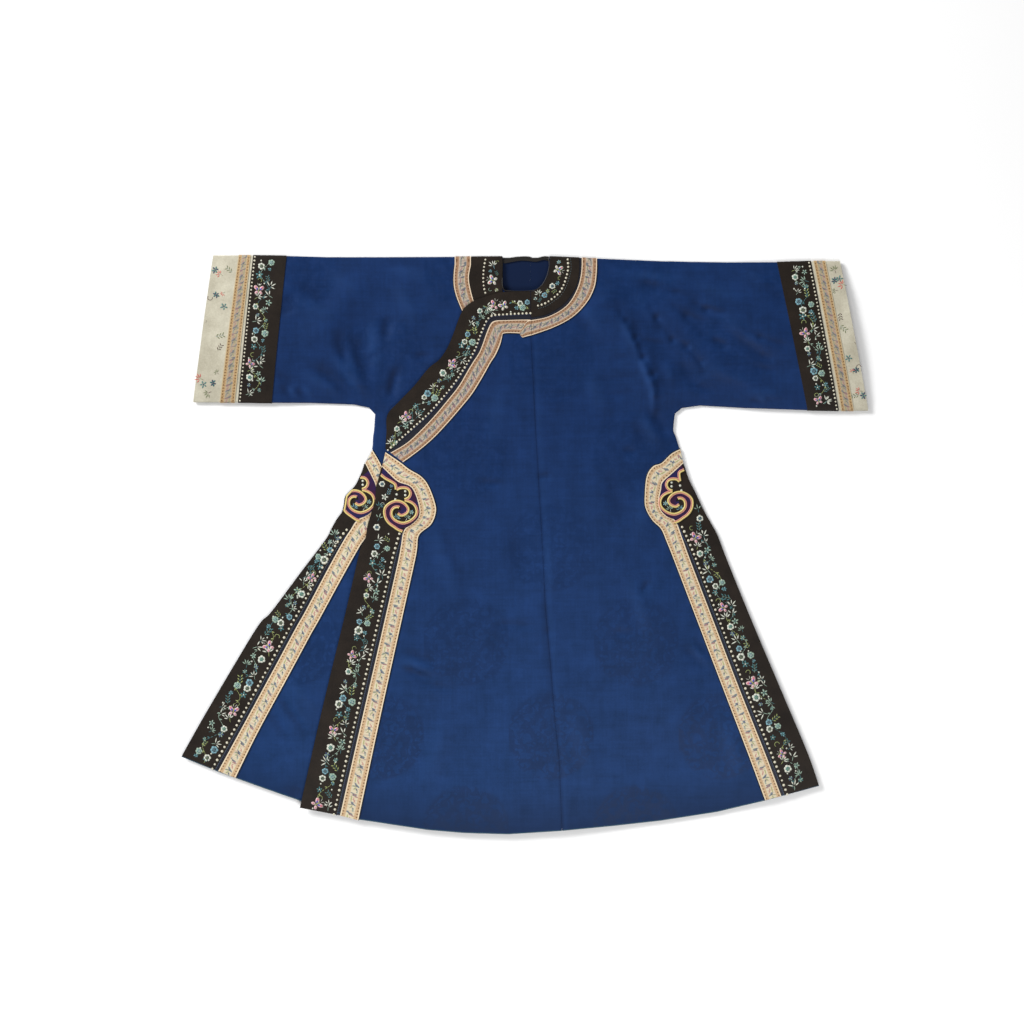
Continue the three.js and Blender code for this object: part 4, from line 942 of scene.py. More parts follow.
# %% Material helper
def material(name, roughness=0.6, sheen=0.0, sheen_color=(1, 1, 1), specular=0.3):
    made = bpy.data.materials.new(name)
    made.use_nodes = True
    tree = made.node_tree
    skin = tree.nodes["Principled BSDF"]
    skin.inputs["Roughness"].default_value = roughness
    skin.inputs["Sheen Weight"].default_value = sheen
    skin.inputs["Sheen Tint"].default_value = (*sheen_color, 1)
    skin.inputs["Specular IOR Level"].default_value = specular
    place = put(tree, "ShaderNodeTexCoord").outputs["Object"]
    millimetres = put(tree, "ShaderNodeVectorMath", {0: place, "Scale": 1000.0},
                      operation="SCALE").outputs[0]
    return made, tree, skin, millimetres


def use(tree, group, **values):
    node = tree.nodes.new("ShaderNodeGroup")
    node.node_tree = group
    for label, source in values.items():
        if hasattr(source, "is_output"):
            tree.links.new(source, node.inputs[label])
        else:
            node.inputs[label].default_value = source
    return node


def bump(tree, skin, height, strength, distance_mm):
    node = put(tree, "ShaderNodeBump",
               {"Height": height, "Strength": strength, "Distance": distance_mm * MM})
    tree.links.new(node.outputs[0], skin.inputs["Normal"])

# %% [markdown]
# The robe's own cloth: blue silk damask, woven with round figures that show only where the light changes.
# The colour is built up in layers, from the threads and long streaks of the weave to the figures, a lighter
# blue towards the hem, painted shade along the hem and inside the neck, and the creases' painted light and
# shade. A picture of real cloth could do this too, but it would not fit the seams.

# %% Blue damask
blue, tree, skin, place = material("blue_damask", 0.5, 0.04, (0.35, 0.5, 0.9), 0.13)
threads = use(tree, weave, Place=place, Thread=0.9)
pattern = use(tree, damask, Place=place)
stretch = put(tree, "ShaderNodeMapping", {"Vector": place, "Scale": (1.0, 0.22, 1.0)})
streak = noise(tree, stretch.outputs[0], 0.050, 4.0)
streak.inputs["Roughness"].default_value = 0.65
lying = put(tree, "ShaderNodeMapping", {"Vector": place, "Scale": (0.20, 1.0, 1.0)})
ripple = noise(tree, lying.outputs[0], 0.060, 4.0)
ripple.inputs["Roughness"].default_value = 0.65
streaks = plus(tree, times(tree, streak.outputs["Fac"], 0.22), times(tree, ripple.outputs["Fac"], 0.24))
for long_way in ((1.0, 0.045, 1.0), (0.045, 1.0, 1.0)):
    drawn_out = put(tree, "ShaderNodeMapping", {"Vector": place, "Scale": long_way})
    slub = noise(tree, drawn_out.outputs[0], 0.24)
    streaks = plus(tree, streaks, times(tree, slub.outputs["Fac"], 0.13))
mixed = plus(tree, times(tree, threads.outputs["Tone"], 0.54), streaks)
tone = ramp(tree, mixed, 0.49, 0.77)
apart = put(tree, "ShaderNodeSeparateXYZ", {0: place})
along_x, down = apart.outputs["X"], apart.outputs["Y"]
# the blue grows lighter towards the hem, and the damask figures show more there
down_share = ramp(tree, down, 250.0, -480.0)
ground = blend(tree, tone, (0.0018, 0.0150, 0.064), (0.0046, 0.0255, 0.106))
lighter_ground = blend(tree, tone, (0.0032, 0.0225, 0.082), (0.0082, 0.0372, 0.136))
ground = blend(tree, down_share, ground, lighter_ground)
faint = times(tree, pattern.outputs["Pattern"], plus(tree, 0.14, times(tree, down_share, 0.34)))
figured = blend(tree, faint, ground, (0.0016, 0.0120, 0.050))
# painted shade along the hem, darkest at the hem line, where the cloth curves down to the table
bow = sums(tree, "POWER", sums(tree, "DIVIDE", along_x, 600.0), 2.0)
from_hem = plus(tree, down, times(tree, bow, -95.0))
hem_shade = ramp(tree, from_hem, -470.0, -552.0, 0.0, 0.72)
figured = blend(tree, hem_shade, figured, (0.0022, 0.0140, 0.052))
# inside the neck the back lies in the shade of the collar
shade = times(tree, between(tree, along_x, -45.0, 48.0, 1.0), between(tree, down, 485.0, 700.0, 3.0))
figured = blend(tree, times(tree, shade, 0.9), figured, (0.0010, 0.0068, 0.030))
# the crease mark paints light onto crests that lean to the window and shade into creases that lean away
crease = put(tree, "ShaderNodeAttribute", attribute_name="crease").outputs["Fac"]
painted_crease_light = ramp(tree, crease, 0.0, 1.0, 0.0, 0.32)
painted_crease_shade = ramp(tree, crease, 0.0, -1.0, 0.0, 0.56)
figured = blend(tree, painted_crease_light, figured, (0.016, 0.058, 0.190))
figured = blend(tree, painted_crease_shade, figured, (0.0010, 0.0065, 0.030))
tree.links.new(figured, skin.inputs["Base Color"])
rough = minus(tree, 0.54, times(tree, pattern.outputs["Pattern"], 0.10))
tree.links.new(rough, skin.inputs["Roughness"])
relief = plus(tree, threads.outputs["Height"], times(tree, pattern.outputs["Pattern"], 0.6))
bump(tree, skin, relief, 0.25, 0.12)

# %% [markdown]
# Black satin is a warm brown-black. Its stitched side carries a slate thread along the edge, and its plain
# side stays bare, so the colour follows the strip's own width.

# %% Black satin
def black_satin(name, rim_low, rim_high, rim_color):
    made, tree, skin, place = material(name, 0.5, 0.03, (0.8, 0.7, 0.6), 0.16)
    threads = use(tree, weave, Place=place, Thread=0.7)
    flat = put(tree, "ShaderNodeUVMap", uv_map="flat").outputs[0]
    across = put(tree, "ShaderNodeSeparateXYZ", {0: flat}).outputs["Y"]
    tone = ramp(tree, threads.outputs["Tone"], 0.3, 0.7)
    ground = blend(tree, tone, (0.0070, 0.0046, 0.0032), (0.0185, 0.0125, 0.0085))
    rim = between(tree, across, rim_low, rim_high, 0.006)
    tree.links.new(blend(tree, rim, ground, rim_color), skin.inputs["Base Color"])
    bump(tree, skin, threads.outputs["Height"], 0.3, 0.12)
    return made


satin_band = black_satin("black_satin", 0.985, 1.2, (0.035, 0.045, 0.09))
satin_plain = black_satin("black_satin_plain", 2.0, 3.0, (0.02, 0.02, 0.02))

# %% [markdown]
# The woven ribbon repeats along its own length, so it reads the strip's UV map: u is millimetres along, v
# runs across. Pale selvedges, striped borders with brown dots, and a pale middle with small leaning marks.
# One group draws them all, and three materials give it the colours of the slit, the neck and the overlap
# ribbons.

# %% Ribbon group
ribbon, rin, rout = new_group(
    "ribbon_weave",
    [("Flat", "NodeSocketVector", None), ("Width", "NodeSocketFloat", 31.0),
     ("Repeat", "NodeSocketFloat", 36.0),
     ("Marks", "NodeSocketFloat", 0.8), ("Deep", "NodeSocketFloat", 0.1),
     ("Rung", "NodeSocketColor", (0.4, 0.25, 0.15, 1)),
     ("Stripe", "NodeSocketColor", (0.5, 0.3, 0.2, 1)), ("Middle", "NodeSocketColor", (0.6, 0.5, 0.4, 1)),
     ("Selvedge", "NodeSocketColor", (0.7, 0.6, 0.4, 1))],
    [("Color", "NodeSocketColor"), ("Height", "NodeSocketFloat")])
parts = put(ribbon, "ShaderNodeSeparateXYZ", {0: rin.outputs["Flat"]})
run, across = parts.outputs["X"], parts.outputs["Y"]
half = sums(ribbon, "ABSOLUTE", minus(ribbon, across, 0.5))
selvedge = between(ribbon, half, 0.446, 0.6, 0.010)
stripe = between(ribbon, half, 0.235, 0.446, 0.012)
centred = minus(ribbon, across, 0.5)
side_mm = times(ribbon, centred, rin.outputs["Width"])
repeats = sums(ribbon, "DIVIDE", run, rin.outputs["Repeat"])
stray = noise(ribbon, rin.outputs["Flat"], 0.31)
drift = times(ribbon, minus(ribbon, stray.outputs["Fac"], 0.5), 12.0)


def dash(at, over, long, wide, tilt):
    """One woven mark in each repeat: how far along, how far over, its length, width and tilt."""
    moved = sums(ribbon, "FRACT", minus(ribbon, repeats, at - 0.5))
    u = times(ribbon, minus(ribbon, moved, 0.5), rin.outputs["Repeat"])
    u, v = plus(ribbon, u, drift), minus(ribbon, side_mm, over)
    c, k = math.cos(tilt), math.sin(tilt)
    lengthwise = plus(ribbon, times(ribbon, u, c / long), times(ribbon, v, k / long))
    crosswise = plus(ribbon, times(ribbon, u, -k / wide), times(ribbon, v, c / wide))
    near = plus(ribbon, sums(ribbon, "POWER", lengthwise, 2.0), sums(ribbon, "POWER", crosswise, 2.0))
    return ramp(ribbon, near, 0.7, 1.3, 1.0, 0.0)


def painted(under, mask, hue, strength=1.0):
    hue = blend(ribbon, rin.outputs["Deep"], hue, (0.075, 0.065, 0.095))
    return blend(ribbon, times(ribbon, times(ribbon, mask, strength), rin.outputs["Marks"]), under, hue)


color = rin.outputs["Middle"]
fleck = noise(ribbon, rin.outputs["Flat"], 0.75, 3.0)
color = painted(color, ramp(ribbon, fleck.outputs["Fac"], 0.50, 0.62, 0.0, 0.6), (0.55, 0.36, 0.30))
for at, over, long, wide, tilt, hue in (
        (0.06, -1.5, 7.0, 1.7, 1.1, (0.20, 0.25, 0.26)), (0.16, 2.6, 5.2, 1.3, 1.3, (0.42, 0.24, 0.22)),
        (0.30, -3.4, 5.5, 1.1, 0.1, (0.45, 0.47, 0.20)), (0.38, 2.2, 4.4, 1.2, 0.6, (0.60, 0.33, 0.27)),
        (0.56, 1.4, 6.4, 1.6, 0.9, (0.18, 0.23, 0.27)), (0.62, -3.0, 4.6, 1.2, 1.8, (0.30, 0.34, 0.24)),
        (0.74, -1.0, 4.2, 1.1, -0.5, (0.40, 0.44, 0.22)), (0.86, 3.0, 4.6, 1.4, 0.3, (0.38, 0.44, 0.36))):
    color = painted(color, dash(at, over, long, wide, tilt), hue)
for at, over in ((0.09, -2.6), (0.58, 0.4), (0.80, 2.0)):
    color = painted(color, dash(at, over, 2.6, 1.0, 0.9), (0.10, 0.09, 0.13), 0.75)
color = blend(ribbon, stripe, color, rin.outputs["Stripe"])
dot_run = minus(ribbon, sums(ribbon, "FRACT", sums(ribbon, "DIVIDE", run, 6.1)), 0.5)
dot_side = times(ribbon, minus(ribbon, half, 0.378), rin.outputs["Width"])
dots = plus(ribbon, times(ribbon, sums(ribbon, "POWER", dot_run, 2.0), 37.0),
            sums(ribbon, "POWER", dot_side, 2.0))
dots = ramp(ribbon, dots, 0.9, 2.6, 1.0, 0.0)
rung = sums(ribbon, "SINE", times(ribbon, run, 1.24))
rung = times(ribbon, ramp(ribbon, rung, 0.1, 0.8, 0.0, 0.42), stripe)
color = blend(ribbon, rung, color, rin.outputs["Rung"])
color = blend(ribbon, times(ribbon, dots, 0.88), color, (0.115, 0.055, 0.018))
thin = between(ribbon, half, 0.222, 0.250, 0.010)
color = blend(ribbon, times(ribbon, thin, 0.45), color, (0.62, 0.46, 0.30))
color = blend(ribbon, selvedge, color, rin.outputs["Selvedge"])
patch = noise(ribbon, rin.outputs["Flat"], 0.11, 3.0)
color = blend(ribbon, times(ribbon, patch.outputs["Fac"], 0.45), color, (0.62, 0.50, 0.42), "MULTIPLY")
ribbon.links.new(color, rout.inputs["Color"])
ribs = sums(ribbon, "SINE", times(ribbon, run, 5.2))
ribbon.links.new(plus(ribbon, times(ribbon, ribs, 0.3), selvedge), rout.inputs["Height"])


def ribbon_material(name, wide, repeat, marks, deep, stripe_hue, middle, edge_hue, rung_hue):
    made, tree, skin, place = material(name, 0.6, 0.03, (1, 0.9, 0.8), 0.15)
    flat = put(tree, "ShaderNodeUVMap", uv_map="flat").outputs[0]
    node = use(tree, ribbon, Flat=flat, Width=wide, Repeat=repeat, Marks=marks, Deep=deep,
               Stripe=(*stripe_hue, 1), Middle=(*middle, 1),
               Selvedge=(*edge_hue, 1), Rung=(*rung_hue, 1))
    tree.links.new(node.outputs["Color"], skin.inputs["Base Color"])
    bump(tree, skin, node.outputs["Height"], 0.4, 0.15)
    return made


peach = ribbon_material("peach_ribbon", 31.0, 37.0, 1.0, 0.22, (0.56, 0.41, 0.25), (0.66, 0.60, 0.43),
                        (0.78, 0.68, 0.50), (0.44, 0.25, 0.13))
rose = ribbon_material("rose_ribbon", 31.0, 23.0, 0.95, 0.55, (0.33, 0.20, 0.12), (0.46, 0.40, 0.32),
                       (0.74, 0.62, 0.46), (0.26, 0.13, 0.08))
tan = ribbon_material("tan_ribbon", 28.0, 25.0, 0.80, 0.45, (0.45, 0.31, 0.155), (0.41, 0.345, 0.235),
                      (0.52, 0.42, 0.26), (0.19, 0.105, 0.045))

# %% [markdown]
# The other silks are plainer: cream satin for the sleeve ends, violet satin with darker clouds for the
# scrolls, and thread for the stitches, which takes each petal's colour from a mark on the mesh. Cords,
# knots and bindings differ only in their two colours, so one helper makes them.

# %% Cream satin, violet satin, binding, cord and thread
cream, tree, skin, place = material("cream_satin", 0.42, 0.1, (1, 1, 0.9), 0.4)
threads = use(tree, weave, Place=place, Thread=0.6)
tone = ramp(tree, threads.outputs["Tone"], 0.3, 0.7)
tree.links.new(blend(tree, tone, (0.35, 0.32, 0.24), (0.56, 0.53, 0.42)), skin.inputs["Base Color"])
bump(tree, skin, threads.outputs["Height"], 0.2, 0.12)

violet, tree, skin, place = material("violet_satin", 0.5, 0.03, (0.7, 0.5, 1.0), 0.16)
threads = use(tree, weave, Place=place, Thread=0.6)
patchy = noise(tree, place, 0.045, 1.0)
patchy = ramp(tree, patchy.outputs["Fac"], 0.42, 0.60)
plum = blend(tree, threads.outputs["Tone"], (0.011, 0.003, 0.019), (0.048, 0.009, 0.042))
tree.links.new(blend(tree, times(tree, patchy, 0.75), plum, (0.010, 0.012, 0.075)),
               skin.inputs["Base Color"])
bump(tree, skin, threads.outputs["Height"], 0.3, 0.1)

thread_silk, tree, skin, place = material("thread_silk", 0.45, 0.1, (1, 1, 1), 0.4)
hue = put(tree, "ShaderNodeAttribute", attribute_name="thread").outputs["Color"]
stitch = noise(tree, place, 0.9)
tree.links.new(blend(tree, times(tree, stitch.outputs["Fac"], 0.5), hue, (0.35, 0.35, 0.35), "MULTIPLY"),
               skin.inputs["Base Color"])
bump(tree, skin, stitch.outputs["Fac"], 0.4, 0.15)


def thread_material(name, low, high, roughness=0.5):
    made, tree, skin, place = material(name, roughness, 0.0, (1, 1, 1), 0.35)
    twist = noise(tree, place, 0.6)
    tree.links.new(blend(tree, twist.outputs["Fac"], low, high), skin.inputs["Base Color"])
    bump(tree, skin, twist.outputs["Fac"], 0.4, 0.1)
    return made


cord_gold = thread_material("cord_gold", (0.50, 0.36, 0.10), (0.70, 0.58, 0.24))
cord_coral = thread_material("cord_coral", (0.42, 0.15, 0.12), (0.66, 0.32, 0.24))
knot_cream = thread_material("knot_cream", (0.42, 0.39, 0.29), (0.68, 0.65, 0.52))
navy_silk = thread_material("navy_silk", (0.0022, 0.0024, 0.006), (0.0055, 0.0065, 0.018))
slate_thread = thread_material("slate_thread", (0.020, 0.036, 0.045), (0.085, 0.125, 0.130))
bound_silk = thread_material("bound_silk", (0.0045, 0.0035, 0.0030), (0.012, 0.0090, 0.0070))
teal_edge = thread_material("teal_edge", (0.010, 0.040, 0.075), (0.020, 0.075, 0.115))

# %% [markdown]
# Three things repeat along lines: knotted dots, laid cords and stitches. Each is a small Geometry Nodes
# tree. It takes a line of points, spaces or sweeps something along it, joins the copies into real mesh and
# gives them their material.

# %% Geometry Nodes trees
def line_tree(name, numbers):
    """An empty tree for lines: its number inputs, each with its usual value, a material and the geometry."""
    tree = bpy.data.node_groups.new(name, "GeometryNodeTree")
    tree.interface.new_socket("Geometry", in_out="INPUT", socket_type="NodeSocketGeometry")
    for label, value in numbers:
        socket = tree.interface.new_socket(label, in_out="INPUT", socket_type="NodeSocketFloat")
        socket.default_value = value
    tree.interface.new_socket("Material", in_out="INPUT", socket_type="NodeSocketMaterial")
    tree.interface.new_socket("Geometry", in_out="OUTPUT", socket_type="NodeSocketGeometry")
    return tree, tree.nodes.new("NodeGroupInput"), tree.nodes.new("NodeGroupOutput")


def dotted_tree():
    numbers = (("Spacing", 0.009), ("Radius", 0.0023), ("Flatness", 0.4))
    tree, start, end = line_tree("dots_along_line", numbers)
    line = put(tree, "GeometryNodeMeshToCurve", {0: start.outputs["Geometry"]})
    spaced = put(tree, "GeometryNodeResampleCurve", {"Curve": line.outputs[0]}, mode="LENGTH")
    tree.links.new(start.outputs["Spacing"], spaced.inputs["Length"])
    ball = put(tree, "GeometryNodeMeshIcoSphere", {"Subdivisions": 2})
    tree.links.new(start.outputs["Radius"], ball.inputs["Radius"])
    size = put(tree, "ShaderNodeCombineXYZ", {0: 1.0, 1: 1.0, 2: start.outputs["Flatness"]})
    vary = put(tree, "FunctionNodeRandomValue", {}, data_type="FLOAT")
    vary.inputs[2].default_value, vary.inputs[3].default_value = 0.82, 1.12
    vary.inputs["Seed"].default_value = 5
    sized = put(tree, "ShaderNodeVectorMath", {0: size.outputs[0], "Scale": vary.outputs[1]},
                operation="SCALE")
    copies = put(tree, "GeometryNodeInstanceOnPoints",
                 {"Points": spaced.outputs[0], "Instance": ball.outputs[0], "Scale": sized.outputs[0]})
    real = put(tree, "GeometryNodeRealizeInstances", {0: copies.outputs[0]})
    done = put(tree, "GeometryNodeSetMaterial", {"Geometry": real.outputs[0]})
    tree.links.new(start.outputs["Material"], done.inputs["Material"])
    tree.links.new(done.outputs[0], end.inputs[0])
    return tree


def cord_tree():
    tree, start, end = line_tree("cord_along_line", (("Radius", 0.0007), ("Step", 0.002)))
    line = put(tree, "GeometryNodeMeshToCurve", {0: start.outputs["Geometry"]})
    spaced = put(tree, "GeometryNodeResampleCurve", {"Curve": line.outputs[0]}, mode="LENGTH")
    tree.links.new(start.outputs["Step"], spaced.inputs["Length"])
    profile = put(tree, "GeometryNodeCurvePrimitiveCircle", {"Resolution": 6})
    tree.links.new(start.outputs["Radius"], profile.inputs["Radius"])
    swept = put(tree, "GeometryNodeCurveToMesh",
                {"Curve": spaced.outputs[0], "Profile Curve": profile.outputs[0], "Fill Caps": True})
    smoothed = put(tree, "GeometryNodeSetShadeSmooth", {0: swept.outputs[0]})
    real = put(tree, "GeometryNodeRealizeInstances", {0: smoothed.outputs[0]})
    done = put(tree, "GeometryNodeSetMaterial", {"Geometry": real.outputs[0]})
    tree.links.new(start.outputs["Material"], done.inputs["Material"])
    tree.links.new(done.outputs[0], end.inputs[0])
    return tree


def stitch_tree():
    numbers = (("Spacing", 0.005), ("Length", 0.0034), ("Radius", 0.0005))
    tree, start, end = line_tree("stitches_along_line", numbers)
    line = put(tree, "GeometryNodeMeshToCurve", {0: start.outputs["Geometry"]})
    spaced = put(tree, "GeometryNodeResampleCurve", {"Curve": line.outputs[0]}, mode="LENGTH")
    tree.links.new(start.outputs["Spacing"], spaced.inputs["Length"])
    ball = put(tree, "GeometryNodeMeshIcoSphere", {"Radius": 0.5, "Subdivisions": 1})
    way = put(tree, "GeometryNodeInputTangent")
    heading = put(tree, "FunctionNodeAlignRotationToVector", {"Vector": way.outputs[0]}, axis="X")
    size = put(tree, "ShaderNodeCombineXYZ",
               {0: start.outputs["Length"], 1: start.outputs["Radius"], 2: start.outputs["Radius"]})
    copies = put(tree, "GeometryNodeInstanceOnPoints",
                 {"Points": spaced.outputs[0], "Instance": ball.outputs[0],
                  "Rotation": heading.outputs[0], "Scale": size.outputs[0]})
    real = put(tree, "GeometryNodeRealizeInstances", {0: copies.outputs[0]})
    done = put(tree, "GeometryNodeSetMaterial", {"Geometry": real.outputs[0]})
    tree.links.new(start.outputs["Material"], done.inputs["Material"])
    tree.links.new(done.outputs[0], end.inputs[0])
    return tree


DOTS, CORD, STITCHES = dotted_tree(), cord_tree(), stitch_tree()


def laid(name, tree, lines, paint, **values):
    """Run a tree over lines of points in millimetres and keep the result as a plain mesh."""
    vertices, edges = [], []
    for points, closed in lines:
        start = len(vertices)
        vertices += (np.asarray(points) * MM).tolist()
        count = len(points)
        edges += [(start + i, start + i + 1) for i in range(count - 1)]
        if closed:
            edges.append((start + count - 1, start))
    data = bpy.data.meshes.new(name + "_line")
    data.from_pydata(vertices, edges, [])
    source = bpy.data.objects.new(name + "_line", data)
    bpy.context.scene.collection.objects.link(source)
    worker = source.modifiers.new("lay", "NODES")
    worker.node_group = tree
    for socket in tree.interface.items_tree:
        if socket.in_out == "INPUT" and socket.name in values:
            worker[socket.identifier] = values[socket.name]
        elif socket.in_out == "INPUT" and socket.name == "Material":
            worker[socket.identifier] = paint
    graph = bpy.context.evaluated_depsgraph_get()
    made = bpy.data.meshes.new_from_object(source.evaluated_get(graph))
    bpy.data.objects.remove(source)
    made.name = name
    if not made.materials:
        made.materials.append(paint)
    piece = bpy.data.objects.new(name, made)
    bpy.context.scene.collection.objects.link(piece)
    return piece


def on_cloth(flat, height, above):
    flat = np.asarray(flat, float)
    return np.concatenate([flat, (height(flat[:, 0], flat[:, 1]) + above)[:, None]], -1)


def edge_of(rows, a, b, back=0.0, first=0, last=None, step=4):
    """The line along one edge of a table of strip rows, moved back from that edge by some millimetres."""
    rows = np.array(rows[first:last], float)
    near, far = rows[:, a:a + 2], rows[:, b:b + 2]
    one, two = smooth([near, far], step)
    way = two - one
    return one + way / np.linalg.norm(way, axis=1)[:, None] * back


TOP = BASE + TRIM


def beside(line, out):
    """The same line moved sideways, to its right when out is positive."""
    way = np.gradient(line, axis=0)
    way /= np.linalg.norm(way, axis=1)[:, None]
    return line + np.stack([way[:, 1], -way[:, 0]], -1) * out

# %% [markdown]
# A row of cream knots runs down the stitched side of every black band, a few millimetres in from its edge.

# %% Dot rows
extras = []
for tag, rows, height in slit_tables:
    line = edge_of(pulled(rows), 2, 0, 7.0, first=8)
    line = line[line[:, 1] < {"left": 34, "front": 20, "right": 38}[tag]]
    extras.append(laid("knots_slit_" + tag, DOTS, [(on_cloth(line, height, TOP), False)], knot_cream,
                       Spacing=0.0094, Radius=0.0024, Flatness=0.5))
    line = edge_of(pulled(rows), 2, 0, 1.6, first=9)
    extras.append(laid("slate_slit_" + tag, STITCHES, [(on_cloth(line, height, TOP), False)], slate_thread,
                       Spacing=0.0046, Length=0.0036, Radius=0.0013))
    # a thin navy cord on the blue silk just outside the ribbon's outer edge: a painted shadow line where the
    # ribbon shades the silk
    line = edge_of([r[4:] + r[2:4] for r in rows], 0, 2, -0.9)
    extras.append(laid("edging_slit_" + tag, CORD, [(on_cloth(line, height, WALL + 0.3), False)], navy_silk,
                       Radius=0.0010, Step=0.004))
line = edge_of(OVERLAP_WIDE, 2, 0, 3.0)
extras.append(laid("knots_overlap", DOTS, [(on_cloth(line, overlap_z, TOP), False)], knot_cream,
                   Spacing=0.0074, Radius=0.0021, Flatness=0.5))
# painted shadow line: a navy cord just outside the overlap ribbon's outer edge
line = edge_of([r[6:] + r[4:6] for r in OVERLAP_TRIM], 0, 2, -0.8)
extras.append(laid("edging_overlap", CORD, [(on_cloth(line, overlap_z, WALL + 0.3), False)], navy_silk,
                   Radius=0.0009, Step=0.004))
for tag, rows, height in (("left", YOKE_LEFT, left_z), ("right", YOKE_RIGHT, inner_z)):
    # painted shadow line: a navy cord just outside the yoke ribbon's outer edge
    line = edge_of([r[6:] + r[4:6] for r in rows], 0, 2, -0.8)
    extras.append(laid("edging_yoke_" + tag, CORD, [(on_cloth(line, height, WALL + 0.3), False)],
                       navy_silk, Radius=0.0009, Step=0.004))
arc_left = np.array([(82, 546), (83, 529), (79, 511), (73, 494), (65, 481), (52, 470), (38, 461),
                     (25, 457)], float)
arc_right = np.array([(-76, 546), (-79, 528), (-80, 510), (-79, 494), (-76, 482)], float)
extras.append(laid("knots_yoke_left", DOTS, [(on_cloth(smooth([arc_left], 3)[0], left_z, TOP), False)],
                   knot_cream, Spacing=0.0070, Radius=0.0021, Flatness=0.5))
beyond = beside(smooth([arc_left], 3)[0], -5.5)
extras.append(laid("slate_yoke_left", STITCHES, [(on_cloth(beyond, left_z, TOP), False)], slate_thread,
                   Spacing=0.0046, Length=0.0036, Radius=0.0011))
extras.append(laid("knots_yoke_right", DOTS, [(on_cloth(smooth([arc_right], 3)[0], inner_z, TOP), False)],
                   knot_cream, Spacing=0.0070, Radius=0.0019, Flatness=0.5))
for tag, table, height in (("left", SLEEVE_LEFT, left_z), ("right", SLEEVE_RIGHT, inner_z)):
    top, low_end = line_between(table, "band", "ribbon", [0.93])
    line = np.linspace(top[0] - [0, 3], low_end[0] + [0, 3], 60)
    extras.append(laid("knots_cuff_" + tag, DOTS, [(on_cloth(line, height, TOP), False)], knot_cream,
                       Spacing=0.0070, Radius=0.0018, Flatness=0.5))

# %% [markdown]
# A half ruyi head closes each slit: a violet band runs from the slit in two lobes and curls up to an eye.
# Each row of the table is the band's outer and inner side, measured from the ring's centre. Gold cord with
# a coral cord beside it outlines the black ground, and the points where two lobes meet stay sharp.

# %% Ruyi scrolls
RUYI = [
    (36.5, 79, 38.5, 69.5), (26, 69.5, 29, 62), (14.5, 61.5, 18, 56), (5, 54.5, 10, 50),
    (1.5, 51, 8.5, 40.5), (-7.5, 49.5, 0, 44), (-17.5, 46.5, -11, 43.5), (-24.5, 40, -17, 39),
    (-26, 30.5, -19, 31.5), (-26.5, 23.5, -15, 24), (-28.5, 18.5, -7.5, 20.5), (-33, 13.5, -19.5, 16.5),
    (-36, 4.5, -28, 9.5), (-36, -5.5, -31.5, -1), (-32, -15.5, -29, -10.5), (-23, -23.5, -21, -18.5),
    (-14, -30, -12, -23), (-1, -33.5, -3, -24.5), (12.5, -31, 7, -21.5), (22.5, -23.5, 14.5, -16),
    (29, -13.5, 18.5, -8.5), (31, -2, 18, 0), (28.5, 7, 14, 5.5), (19.5, 14.5, 8.5, 7.5), (8, 18, 3.5, 7),
    (-4, 15, 1, 4), (-12, 7.5, -0.5, 2.5), (-14, 1, 0, 1), (-10, -5.5, 1, 0), (-1, -9, 3, 0.5),
    (5.5, -5, 5, 2)]
CUSPS = (4, 10)
TAIL = [(-3, -39.5), (4.5, -36.5)]


UPPER = {"left": {2: (14.5, 66, 18.8, 62.5), 3: (5, 58, 6, 56.5), 4: (0, 51, 7, 39.5)}}


